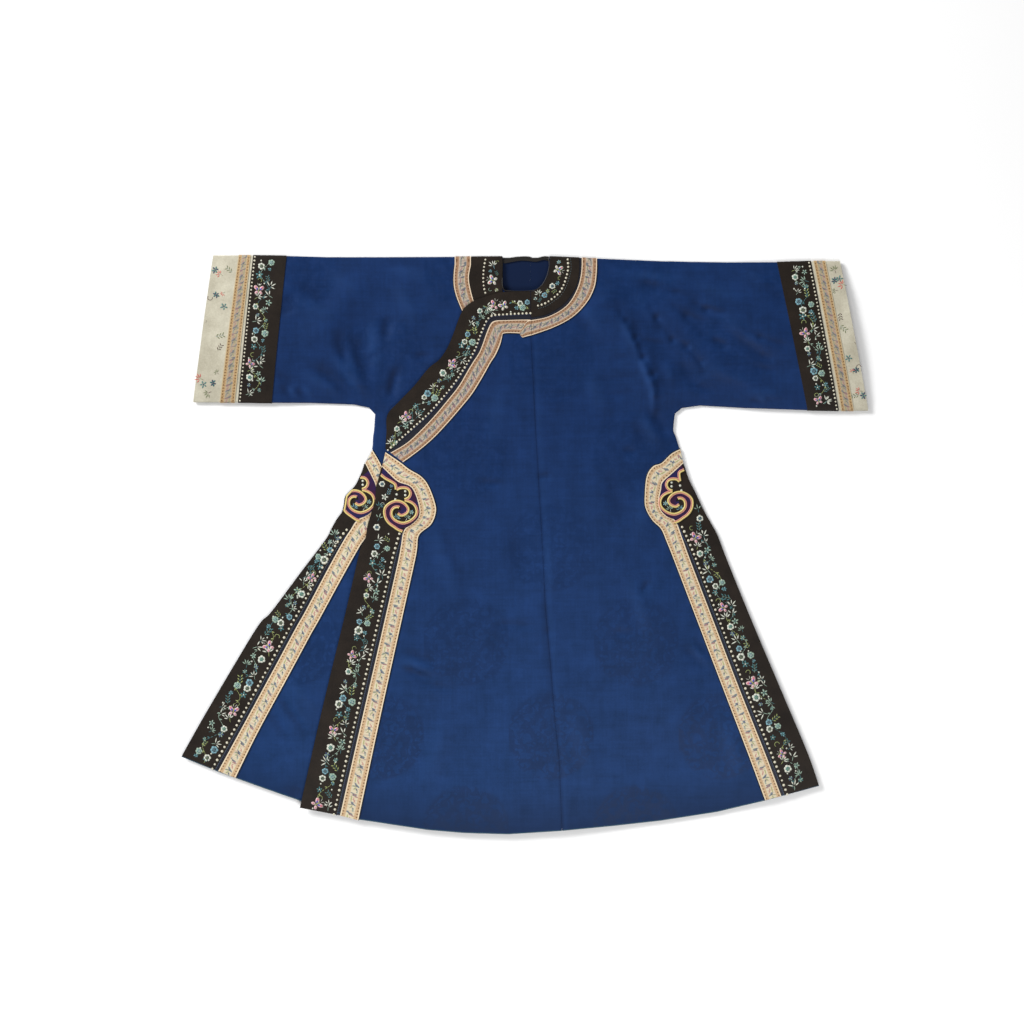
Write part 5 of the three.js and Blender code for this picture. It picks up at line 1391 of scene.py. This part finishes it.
def scroll(tag, cx, cy, sx, height, first, trim):
    side = SIDE_LEFT if sx > 0 else SIDE_RIGHT if tag == "right" else OVERLAP_EDGE

    def place_(line):
        x, y = cx + sx * line[:, 0], cy + line[:, 1]
        inside = along(side, 1, y) - sx * 3.2
        return np.stack([np.minimum(x, inside) if sx > 0 else np.maximum(x, inside), y], -1)

    table = np.array(RUYI, float)
    for k, row in UPPER.get(tag, {}).items():
        table[k] = row
    outer, inner = table[:, :2], table[:, 2:]
    rim = smooth([np.array([r[2:4] for r in trim], float)], 2)[0]
    rim = np.vstack([rim[0] + (rim[0] - rim[1]) / np.linalg.norm(rim[0] - rim[1]) * 14, rim])
    for k in range(15):
        spot = np.array([cx + sx * outer[k, 0], cy + outer[k, 1]])
        near = rim[np.argmin(np.linalg.norm(rim - spot, axis=1))]
        outer[k] = (near - [cx, cy]) * [sx, 1] - np.array([-0.5, 0.0])
    parts = [k for k in (first, *CUSPS) if k >= first] + [len(table) - 1]
    drawn = [smooth([outer[a:b + 1], inner[a:b + 1]], 2.2) for a, b in zip(parts[:-1], parts[1:])]
    drawn = [pair for pair in drawn if len(pair[0]) > 1]
    joined = [np.hstack([place_(o), place_(i)]) for o, i in drawn]
    rows = np.vstack([part[(0 if k == 0 else 1):] for k, part in enumerate(joined)])
    piece = strip("violet_scroll_" + tag, rows.tolist(), height, cols=2, step=30, base=TOP + 0.05,
                  thick=0.7)
    piece.data.materials.append(violet)
    gold, coral = [], []
    last = drawn[-1][1]
    stop = int(np.argmax(np.linalg.norm(last - [1.0, 2.5], axis=1) < 4.6))
    drawn[-1] = (drawn[-1][0], last[:stop + 1])
    for o, i in drawn:
        gold.append((on_cloth(place_(beside(i, -1.5)), height, TOP + 0.6), False))
        coral.append((on_cloth(place_(beside(i, 1.3)), height, TOP + 0.7), False))
    tail = np.array(TAIL + [tuple(p) for p in outer[18:]], float)
    line = smooth([tail], 2.2)[0]
    gold.append((on_cloth(place_(beside(line, 1.3)), height, TOP + 0.6), False))
    coral.append((on_cloth(place_(beside(line, -1.4)), height, TOP + 0.7), False))
    return piece, [laid("gold_cord_" + tag, CORD, gold, cord_gold, Radius=0.0018, Step=0.0020),
                   laid("coral_cord_" + tag, CORD, coral, cord_coral, Radius=0.0012, Step=0.0020)]


scrolls = {}
for tag, cx, cy, sx, height, first, trim in (
        ("left", 290, 81, 1, left_z, 2, SLIT_LEFT),
        ("front", -238, 64, -1, overlap_z, 0, SLIT_FRONT),
        ("right", -320, 84, -1, inner_z, 5, SLIT_RIGHT)):
    piece, cords = scroll(tag, cx, cy, sx, height, first, trim)
    scrolls["scroll_" + tag] = piece
    extras += cords

# %% [markdown]
# Embroidery is drawn with a few shapes, as a stitcher would chart it: a petal is a small domed leaf of
# thread. Blossoms, bamboo sprays, buds and butterflies are all made of petals, and each petal has its own
# colour.

# %% Stitched motifs
WHITE, PALE, TEAL = (0.64, 0.66, 0.56), (0.30, 0.42, 0.33), (0.050, 0.17, 0.18)
SKY, BLUE_T, LIME = (0.18, 0.36, 0.42), (0.05, 0.09, 0.20), (0.33, 0.38, 0.13)


def petal(x, y, tilt, long, wide, hue, pointed=False, level=0):
    points = []
    count = 10
    for k in range(count):
        a = 2 * math.pi * k / count
        px, py = math.cos(a) * long / 2, math.sin(a) * wide / 2
        if pointed:
            py *= max(0.0, 1 - (abs(px) / (long / 2)) ** 2) ** 0.5 * 1.1
        points.append((x + px * math.cos(tilt) - py * math.sin(tilt),
                       y + px * math.sin(tilt) + py * math.cos(tilt)))
    return ((x, y), points, hue, level)


def turn_of(count, start=0.3):
    return [2 * math.pi * k / count + start for k in range(count)]


def blossom(r, outer, core):
    made = [petal(math.cos(a) * r * 0.62, math.sin(a) * r * 0.62, a,
                  r * (0.95 - 0.2 * (k % 2)), r * 0.48, outer) for k, a in enumerate(turn_of(5))]
    return made + [petal(0, 0, 0, r * 0.5, r * 0.42, core, level=1)]


def ring_flower(r, outline, field_hue, core):
    """An outlined flower: a scalloped rim, a dark field inside it and a small heart."""
    made = [petal(math.cos(a) * r * 0.62, math.sin(a) * r * 0.60, a,
                  r * (0.60 + 0.16 * (k % 2)), r * 0.80, outline) for k, a in enumerate(turn_of(6))]
    made.append(petal(0, 0, 0.4, r * 1.30, r * 1.18, field_hue, level=2))
    return made + [petal(math.cos(a) * r * 0.26, math.sin(a) * r * 0.22, a,
                         r * 0.42, r * 0.22, core, level=3) for a in turn_of(4)]


def bamboo(r, hue, stem, leaves=(0.15, 0.75, 1.35, 2.1, 2.85)):
    made = [petal(math.cos(a) * r * 0.58, math.sin(a) * r * 0.58, a + 0.2 * math.cos(a),
                  r * (0.8 + 0.3 * (k % 2)), r * 0.2, hue, True) for k, a in enumerate(leaves)]
    return made + [petal(0, -r * 0.4, 1.4, r * 0.9, r * 0.11, stem)]


def spray(r, hue, stem):
    """Leaves in pairs up a bent stem."""
    made = []
    for k in range(3):
        y, bend = (k - 1) * r * 0.62, 0.12 * (k - 1)
        made.append(petal(-r * 0.34, y + r * 0.2, 2.3 + bend, r * 0.72, r * 0.22, hue, True))
        made.append(petal(r * 0.34, y + r * 0.26, 0.85 + bend, r * 0.72, r * 0.22, hue, True))
        made.append(petal(0, y, 1.57 + bend, r * 0.62, r * 0.1, stem))
    return made


def butterfly(r, wing, spot, body):
    made = []
    for side in (-1, 1):
        made.append(petal(side * r * 0.40, r * 0.34, side * 0.7, r * 0.92, r * 0.62, wing))
        made.append(petal(side * r * 0.32, -r * 0.34, -side * 0.8, r * 0.66, r * 0.46, wing))
        made.append(petal(side * r * 0.46, r * 0.40, side * 0.7, r * 0.56, r * 0.36, spot, level=1))
        made.append(petal(side * r * 0.28, r * 0.22, side * 0.7, r * 0.50, r * 0.30, body, level=2))
        made.append(petal(side * r * 0.34, -r * 0.36, -side * 0.8, r * 0.30, r * 0.20, spot, level=1))
        made.append(petal(side * r * 0.18, r * 0.86, 1.57 - side * 0.5, r * 0.5, r * 0.07, WHITE))
    return made + [petal(0, 0.1 * r, math.pi / 2, r * 1.0, r * 0.16, LIME, level=2)]


def bud(r, hue, leaf_hue):
    made = [petal(math.cos(a) * r * 0.46, math.sin(a) * r * 0.36, a, r * 0.62, r * 0.34,
                  hue if k % 2 else leaf_hue, k % 2 == 0) for k, a in enumerate(turn_of(6))]
    return made + [petal(0, 0, 0, r * 0.34, r * 0.28, leaf_hue, level=2)]


def curl(r, hue):
    return [petal(math.cos(a) * r * 0.6, math.sin(a) * r * 0.6, a + 1.57, r * 0.5, r * 0.17, hue)
            for a in np.linspace(0.2, 3.6, 7)]


DARK, ROSE, ROYAL, BLUSH = (0.02, 0.035, 0.05), (0.56, 0.13, 0.17), (0.045, 0.07, 0.40), (0.66, 0.44, 0.45)
CHART = [
    lambda: ring_flower(8.4, WHITE, DARK, LIME), lambda: bud(7.5, TEAL, PALE),
    lambda: bamboo(12, WHITE, LIME), lambda: spray(9, TEAL, PALE),
    lambda: ring_flower(7.8, SKY, DARK, SKY), lambda: bamboo(10.5, PALE, TEAL),
    lambda: butterfly(14, BLUSH, ROSE, ROYAL), lambda: bud(7, SKY, TEAL),
    lambda: bamboo(11, WHITE, PALE, (0.4, 1.2, 2.0, 3.0)), lambda: blossom(6.5, PALE, TEAL),
    lambda: curl(7.5, LIME), lambda: ring_flower(8.0, PALE, TEAL, WHITE), lambda: bud(7.5, BLUE_T, PALE),
    lambda: bamboo(11.5, WHITE, PALE, (0.1, 0.9, 2.3)), lambda: blossom(7.5, TEAL, WHITE),
    lambda: spray(8.5, LIME, TEAL), lambda: ring_flower(8.2, WHITE, TEAL, LIME),
    lambda: bamboo(11, WHITE, TEAL, (-0.4, 0.6, 1.5, 2.5)),
]


def stitched(name, motifs, height, above):
    """motifs: lists of petals already placed on the page in millimetres."""
    vertices, faces, hues = [], [], []
    for (cx, cy), rim, hue, level in motifs:
        start, up = len(vertices), 0.24 * level
        for k, (x, y) in enumerate(rim):
            vertices.append((x, y, 0.0))
        inner = [(cx + (x - cx) * 0.55, cy + (y - cy) * 0.55) for x, y in rim]
        vertices.extend((x, y, 0.42 + up) for x, y in inner)
        vertices.append((cx, cy, 0.52 + up))
        n = len(rim)
        for k in range(n):
            m = (k + 1) % n
            faces.append((start + k, start + m, start + n + m, start + n + k))
            faces.append((start + n + k, start + n + m, start + 2 * n))
        faces.append(tuple(start + k for k in reversed(range(n))))
        hues += [hue] * (2 * n + 1)
    points = np.array(vertices)
    points[:, 2] += height(points[:, 0], points[:, 1]) + above - 0.03
    data = bpy.data.meshes.new(name)
    data.from_pydata((points * MM).tolist(), [], faces)
    paint = data.attributes.new("thread", "FLOAT_COLOR", "POINT")
    paint.data.foreach_set("color", [c for hue in hues for c in (*hue, 1.0)])
    data.polygons.foreach_set("use_smooth", [True] * len(data.polygons))
    data.materials.append(thread_silk)
    piece = bpy.data.objects.new(name, data)
    bpy.context.scene.collection.objects.link(piece)
    return piece


def placed(motif, x, y, turn, scale=1.0):
    c, s = math.cos(turn), math.sin(turn)
    move = lambda p: (x + scale * (p[0] * c - p[1] * s), y + scale * (p[0] * s + p[1] * c))
    return [(move(heart), [move(p) for p in rim], hue, level) for heart, rim, hue, level in motif]


END_ROOM = 12.0


def border(rows, low, high, step, seed, lanes=2, first=0, last=None, wide=1.0):
    """Motifs down a strip, between parts low and high of its width, from the chart in turn."""
    rng = random.Random(seed)
    rows = np.array(rows[first:last], float)
    one, two = smooth([rows[:, :2], rows[:, 2:4]], 3)
    middle = (one + two) / 2
    length = np.r_[0, np.cumsum(np.linalg.norm(np.diff(middle, axis=0), axis=1))]
    made, at, k = [], step * 0.4, seed
    while at < length[-1] - step * 0.3:
        i = min(len(length) - 2, int(np.searchsorted(length, at)))
        way = middle[i + 1] - middle[i]
        heading = math.atan2(way[1], way[0])
        for lane in range(lanes):
            share = low + (high - low) * ((lane + 0.5) / lanes + rng.uniform(-0.09, 0.09))
            spot = one[i] * (1 - share) + two[i] * share
            shift = rng.uniform(-0.24, 0.24) * step + (0.45 * step if lane % 2 else 0)
            shift = min(shift, length[-1] - END_ROOM - at)
            spot = spot + np.array([math.cos(heading), math.sin(heading)]) * shift
            leaning = heading + math.pi / 2 + rng.uniform(-1.3, 1.3)
            made += placed(CHART[k % len(CHART)](), *spot, leaning, wide * rng.uniform(0.78, 1.15))
            if k % 3 == 0:
                side_way = heading + rng.uniform(-0.6, 0.6) + math.pi * (lane % 2)
                dot = spot + 11 * np.array([math.cos(side_way), math.sin(side_way)])
                made.append(petal(*dot, side_way, 3.6, 3.2, WHITE, level=1))
            k += 7
        at += step
    return made

# %% [markdown]
# The borders are stitched onto the black satin. A thin stem winds down the middle of a strip and motifs
# from the chart are set along both sides of it, each a little turned and shifted by a fixed seed. Round the
# neck there is room for only a few motifs, so those are placed one by one in a table.

# %% Embroidered borders
def vine(rows, middle, sway, wave, seed, first=0, last=None):
    """A thin stem that winds along a strip, with a small leaf at every bend."""
    rows = np.array(rows[first:last], float)
    one, two = smooth([rows[:, :2], rows[:, 2:4]], 3)
    centre_line = (one + two) / 2
    run = np.r_[0, np.cumsum(np.linalg.norm(np.diff(centre_line, axis=0), axis=1))]
    at = np.arange(4, run[-1] - 4, 4.6)
    share = middle + sway * np.sin(2 * math.pi * at / wave + seed)
    pick = lambda line: np.stack([np.interp(at, run, line[:, 0]), np.interp(at, run, line[:, 1])], -1)
    path = pick(one) * (1 - share[:, None]) + pick(two) * share[:, None]
    made = []
    for k, (p, q) in enumerate(zip(path[:-1], path[1:])):
        heading = math.atan2(q[1] - p[1], q[0] - p[0])
        hue = (TEAL, LIME, PALE)[(k // 9 + seed) % 3]
        made.append(petal(*(p + q) / 2, heading, 6.0, 1.0, hue, level=-0.7))
        if k % 3 == 0:
            turn = heading + (0.8 if k % 2 else -0.8)
            leaf = p + 3 * np.array([math.cos(turn), math.sin(turn)])
            made.append(petal(*leaf, turn, 6.5, 2.0, hue, True))
    return made


for tag, rows, height, seed in (
        ("left", SLIT_LEFT, left_z, 3),
        ("front", SLIT_FRONT, overlap_z, 8),
        ("right", SLIT_RIGHT, inner_z, 5)):
    lowest = 0.30 if tag != "right" else 0.18
    made = vine(pulled(rows), (lowest + 0.78) / 2, 0.15, 66, seed, first=9)
    made += border(pulled(rows), lowest, 0.80, 16.5, seed, first=8, wide=0.95)
    extras.append(stitched("stitch_slit_" + tag, made, height, TOP))
trim_rows = [r[:4] for r in OVERLAP_WIDE]
made = vine(trim_rows, 0.60, 0.14, 58, 1) + border(trim_rows, 0.36, 0.84, 15.5, 4, wide=0.85)
made = [part for part in made if math.hypot(part[0][0] + 41, part[0][1] - 456) > 14]
made += placed(butterfly(11.5, WHITE, ROSE, ROYAL), -41, 456, 0.5)
extras.append(stitched("stitch_overlap", made, overlap_z, TOP))
YOKE_MOTIFS = {
    "left": [(65, 541, bud(6, SKY, PALE), 0.4), (63.5, 526, butterfly(12, WHITE, ROSE, ROYAL), -1.9),
             (66.5, 510, curl(5, LIME), 1.0), (62.5, 500, bud(6.5, TEAL, SKY), 0.8),
             (52.5, 494.5, ring_flower(6.4, WHITE, DARK, SKY), 0.2),
             (57, 485, spray(5.5, LIME, TEAL), 2.2), (43.5, 485, bud(6, LIME, PALE), 1.4),
             (37.5, 477, ring_flower(6, SKY, DARK, WHITE), 0.0),
             (26.5, 479.5, bamboo(8.5, WHITE, PALE), 0.5), (29, 468.5, spray(5, TEAL, PALE), 2.6),
             (20, 470.5, bud(5.4, WHITE, TEAL), 0.3)],
    "right": [(-61, 535, bamboo(9.5, WHITE, SKY), 0.4), (-53, 541, curl(4.6, LIME), 0.3),
              (-66.5, 524, bud(5.0, SKY, TEAL), 0.0),
              (-61.5, 506, butterfly(12.5, WHITE, ROSE, ROYAL), 1.3),
              (-54, 519, spray(5, TEAL, LIME), 0.4), (-54.5, 487.5, bud(5.4, WHITE, LIME), 0.6),
              (-67, 488.5, curl(4.8, PALE), 2.0)],
}
for tag, height in (("left", left_z), ("right", inner_z)):
    made = [part for x, y, motif, turn in YOKE_MOTIFS[tag] for part in placed(motif, x, y, turn)]
    extras.append(stitched("stitch_yoke_" + tag, made, height, TOP))
for tag, table, height, seed in (("left", SLEEVE_LEFT, left_z, 2), ("right", SLEEVE_RIGHT, inner_z, 11)):
    t = np.linspace(0.02, 0.98, 14)[:, None]
    edge_lines = []
    for share in (0.0, 1.0):
        top, low_end = line_between(table, "band", "ribbon", [share])
        edge_lines.append(top[0] * (1 - t) + low_end[0] * t)
    rows = np.hstack(edge_lines).tolist()
    made = vine(rows, 0.56, 0.14, 60, seed) + border(rows, 0.28, 0.84, 15.5, seed, wide=0.9)
    extras.append(stitched("stitch_cuff_" + tag, made, height, TOP))

# %% [markdown]
# The black ground inside each ruyi head is stitched too. Its motifs are set out from the ring's centre, and a
# head that the slit cuts short keeps only those that still fit on it.

# %% Stitching inside the ruyi heads
HEAD_CHART = [(36, 51, ring_flower(6.4, WHITE, DARK, SKY)), (31, 26, blossom(6.5, WHITE, PALE)),
              (23, 35, spray(6.5, SKY, PALE)), (18, 47, bud(5.2, BLUE_T, SKY)),
              (-20, -3, bud(7.5, SKY, PALE)), (-11.5, -14, bamboo(8.5, PALE, WHITE)),
              (8, -14.5, bamboo(8.5, SKY, PALE)), (41, 8, bamboo(9, TEAL, PALE)),
              (42, -14, bamboo(9, PALE, TEAL, (0.5, 1.5, 2.6))),
              (46, -32, ring_flower(7.2, WHITE, DARK, SKY)), (35, 12, curl(5, WHITE))]
HEAD_DOTS = [(8, 31), (-8.5, 37), (-8.5, 29.5), (10.5, 21.5)]
HEAD_CHART += [(u, v, [petal(0, 0, 0, 5.0, 5.0, WHITE, level=1)]) for u, v in HEAD_DOTS]
for tag, cx, cy, sx, side, height in (
        ("left", 290, 81, 1, SIDE_LEFT, left_z),
        ("front", -238, 64, -1, OVERLAP_EDGE, overlap_z),
        ("right", -320, 84, -1, SIDE_RIGHT, inner_z)):
    made = []
    for u, v, motif in HEAD_CHART:
        x, y = cx + sx * u, cy + v
        if (float(along(side, 1, y)) - x) * sx > 6:
            made += placed(motif, x, y, 0.3 * sx)
    extras.append(stitched("stitch_head_" + tag, made, height, TOP))

# %% [markdown]
# The cream cuffs carry only a few loose sprigs, so these are set out one by one: how far down the cuff, how
# far out, which sprig and how large.

# %% Sprigs on the cream cuffs
SLATE = (0.06, 0.08, 0.12)
BRICK = (0.62, 0.13, 0.10)
OLIVE = (0.17, 0.20, 0.09)
AQUA = (0.11, 0.22, 0.20)
UMBER = (0.10, 0.045, 0.04)
SPRIG_CHART = [lambda: bud(8, SLATE, AQUA), lambda: bamboo(9, BRICK, OLIVE),
               lambda: spray(7, OLIVE, AQUA), lambda: bud(7.5, (0.03, 0.13, 0.14), SLATE),
               lambda: blossom(6, AQUA, SLATE), lambda: curl(6.5, UMBER), lambda: spray(6, UMBER, OLIVE),
               lambda: bamboo(8, OLIVE, UMBER)]
SPRIGS = [(0.10, 0.84, 0, 1.1), (0.13, 0.62, 1, 0.8), (0.10, 0.28, 2, 1.0), (0.27, 0.66, 3, 1.1),
          (0.26, 0.40, 1, 0.6), (0.35, 0.30, 4, 1.0), (0.29, 0.88, 5, 1.0), (0.55, 0.31, 2, 1.1),
          (0.63, 0.26, 6, 1.1), (0.84, 0.86, 1, 1.0), (0.88, 0.70, 4, 1.0), (0.87, 0.34, 3, 1.1),
          (0.94, 0.48, 7, 1.0), (0.80, 0.24, 7, 0.7), (0.45, 0.92, 5, 0.4)]
for tag, table, height in (("left", SLEEVE_LEFT, left_z), ("right", SLEEVE_RIGHT, inner_z)):
    made = []
    for down, out, which, larger in SPRIGS:
        down = down if tag == "right" else 1 - down
        top, low_end = line_between(table, "cuff", "end", [out])
        spot = top[0] * (1 - down) + low_end[0] * down
        made += placed(SPRIG_CHART[which](), spot[0], spot[1], down * 9.0, larger * 1.15)
    extras.append(stitched("sprigs_" + tag, made, height, WALL + 0.1))

# %% [markdown]
# Last come the bound neck edge with the facing behind it, the yoke ribbon's slanted end, which covers the
# other ribbon's end, and the thin teal line that closes the hem.

# %% Bindings and seams
neck_front = smooth([np.array([(-43.2, 541), (-43.7, 517), (-42.2, 491), (-31, 485.6), (11.6, 485.6),
                               (28.6, 492.6), (40, 508.8), (46.2, 530), (46.4, 541)], float)], 4)[0]
blend_in = ease(486, 520, neck_front[:, 1]) * (1 - ease(-20, 20, neck_front[:, 0]))
z = overlap_z(*neck_front.T) * (1 - blend_in) + inner_z(*neck_front.T) * blend_in
neck_back = [(45.6, 548, 5.5), (36, 549, 3.6), (12, 549, 3.3), (-12, 549, 3.3), (-34, 549, 3.4),
             (-42.8, 548, 3.7)]
rim = np.vstack([np.concatenate([neck_front, z[:, None] + WALL], -1), neck_back])
rim[:, 2] -= 0.8
binding = laid("neck_bound", CORD, [(rim, True)], bound_silk, Radius=0.0010, Step=0.003)

BACK_NECK = [(-44, 545.5, -40.5, 539), (-31, 549.5, -27, 541.5), (-13.5, 552, -9, 544.5),
             (6.5, 552.5, 7, 543.8), (13, 550.4, 13, 543), (20, 549, 20, 542.5),
             (26.5, 550.4, 26.5, 543.5), (37.5, 553, 36, 546), (47, 552, 44.5, 544)]
extras.append(strip("neck_facing", BACK_NECK, back_z, cols=3, base=0.1, thick=1.2))
extras[-1].data.materials.append(bound_silk)
RIBBON_END = [(11.6, 429, 11.6, 400.2), (4.5, 427.6, 2, 397.8), (-3, 417, -5, 396), (-11, 404.5, -8.5, 400)]
extras.append(strip("woven_yoke_end", RIBBON_END, left_z, cols=4, base=TOP + 0.06, thick=0.7))
extras[-1].data.materials.append(rose)

hem_edges = []
for start, end, height in ((-433, 70, overlap_z), (72, 564, left_z), (-659, -434, inner_z)):
    x = np.linspace(start, end, 120)
    line = np.stack([x, along(HEM, 0, x) + 0.4], -1)
    hem_edges.append((on_cloth(line, height, WALL - 0.4), False))
extras.append(laid("hem_edge", CORD, hem_edges, teal_edge, Radius=0.0011, Step=0.004))

# %% [markdown]
# Every piece now takes its finish, rides on the robe's one body and stands for its solid. The size each
# cloth was cut to, before it was sewn and laid, is printed beside its measured area.

# %% Finishes and facts
SILK = {"body_left": half_left, "body_right": half_right, "front_overlap": overlap}
for piece in SILK.values():
    piece.data.materials.append(blue)
for node, piece in bands.items():
    long_strip = node.startswith("slit") or node == "overlap_band"
    piece.data.materials.append(satin_band if long_strip else satin_plain)
for node, piece in ribbons.items():
    piece.data.materials.append(peach if node.startswith("slit") else rose)
for node, piece in cuffs.items():
    piece.data.materials.append({"band": satin_plain, "ribb": tan, "sati": cream}[node[5:9]])

pieces = {**SILK, **bands, **ribbons, **cuffs, **scrolls, "neck_binding": binding}


def flat_area(piece):
    areas = np.empty(len(piece.data.polygons), np.float32)
    piece.data.polygons.foreach_get("area", areas)
    return float(areas.sum()) / 2


for node, piece in pieces.items():
    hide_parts(node)
    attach(piece, "root")
for piece in pipings:
    piece.data.materials.append(navy_silk)
for piece in extras + pipings:
    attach(piece, "root")
cuts["silk_left"] = (0.600, 2.21, 0.945)
cuts["silk_right"] = (0.672, 2.21, 1.015)
cuts["silk_overlap"] = (0.515, 1.045, 0.352)
sheets = {piece.name: piece for piece in [*pieces.values(), *extras, *pipings] if piece.name in cuts}


def carried_by(name):
    """The strip or cuff that carries a piece of needlework."""
    words = name.split("_")
    if {"slit", "head", "cord"} & set(words):
        return "satin_slit_" + words[-1]
    for word in ("overlap", "yoke", "cuff"):
        if word in words:
            return "satin_" + word + ("" if word == "overlap" else "_" + words[-1])
    return {"sprigs": "cream_cuff_" + words[-1]}.get(words[0], "silk_left")


carried = {}
for piece in extras:
    if piece.name not in sheets:
        carried.setdefault(carried_by(piece.name), []).append(piece)
for name, piece in sheets.items():
    width, length, area = cuts[name]
    tag = name.split("_")[-1]
    if name in ("silk_left", "silk_right"):
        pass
    elif name == "silk_overlap":
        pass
    else:
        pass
    print(name, "cut", round(width, 3), "x", round(length, 3), "m, area", round(area, 4),
          "measured", round(flat_area(piece), 4))
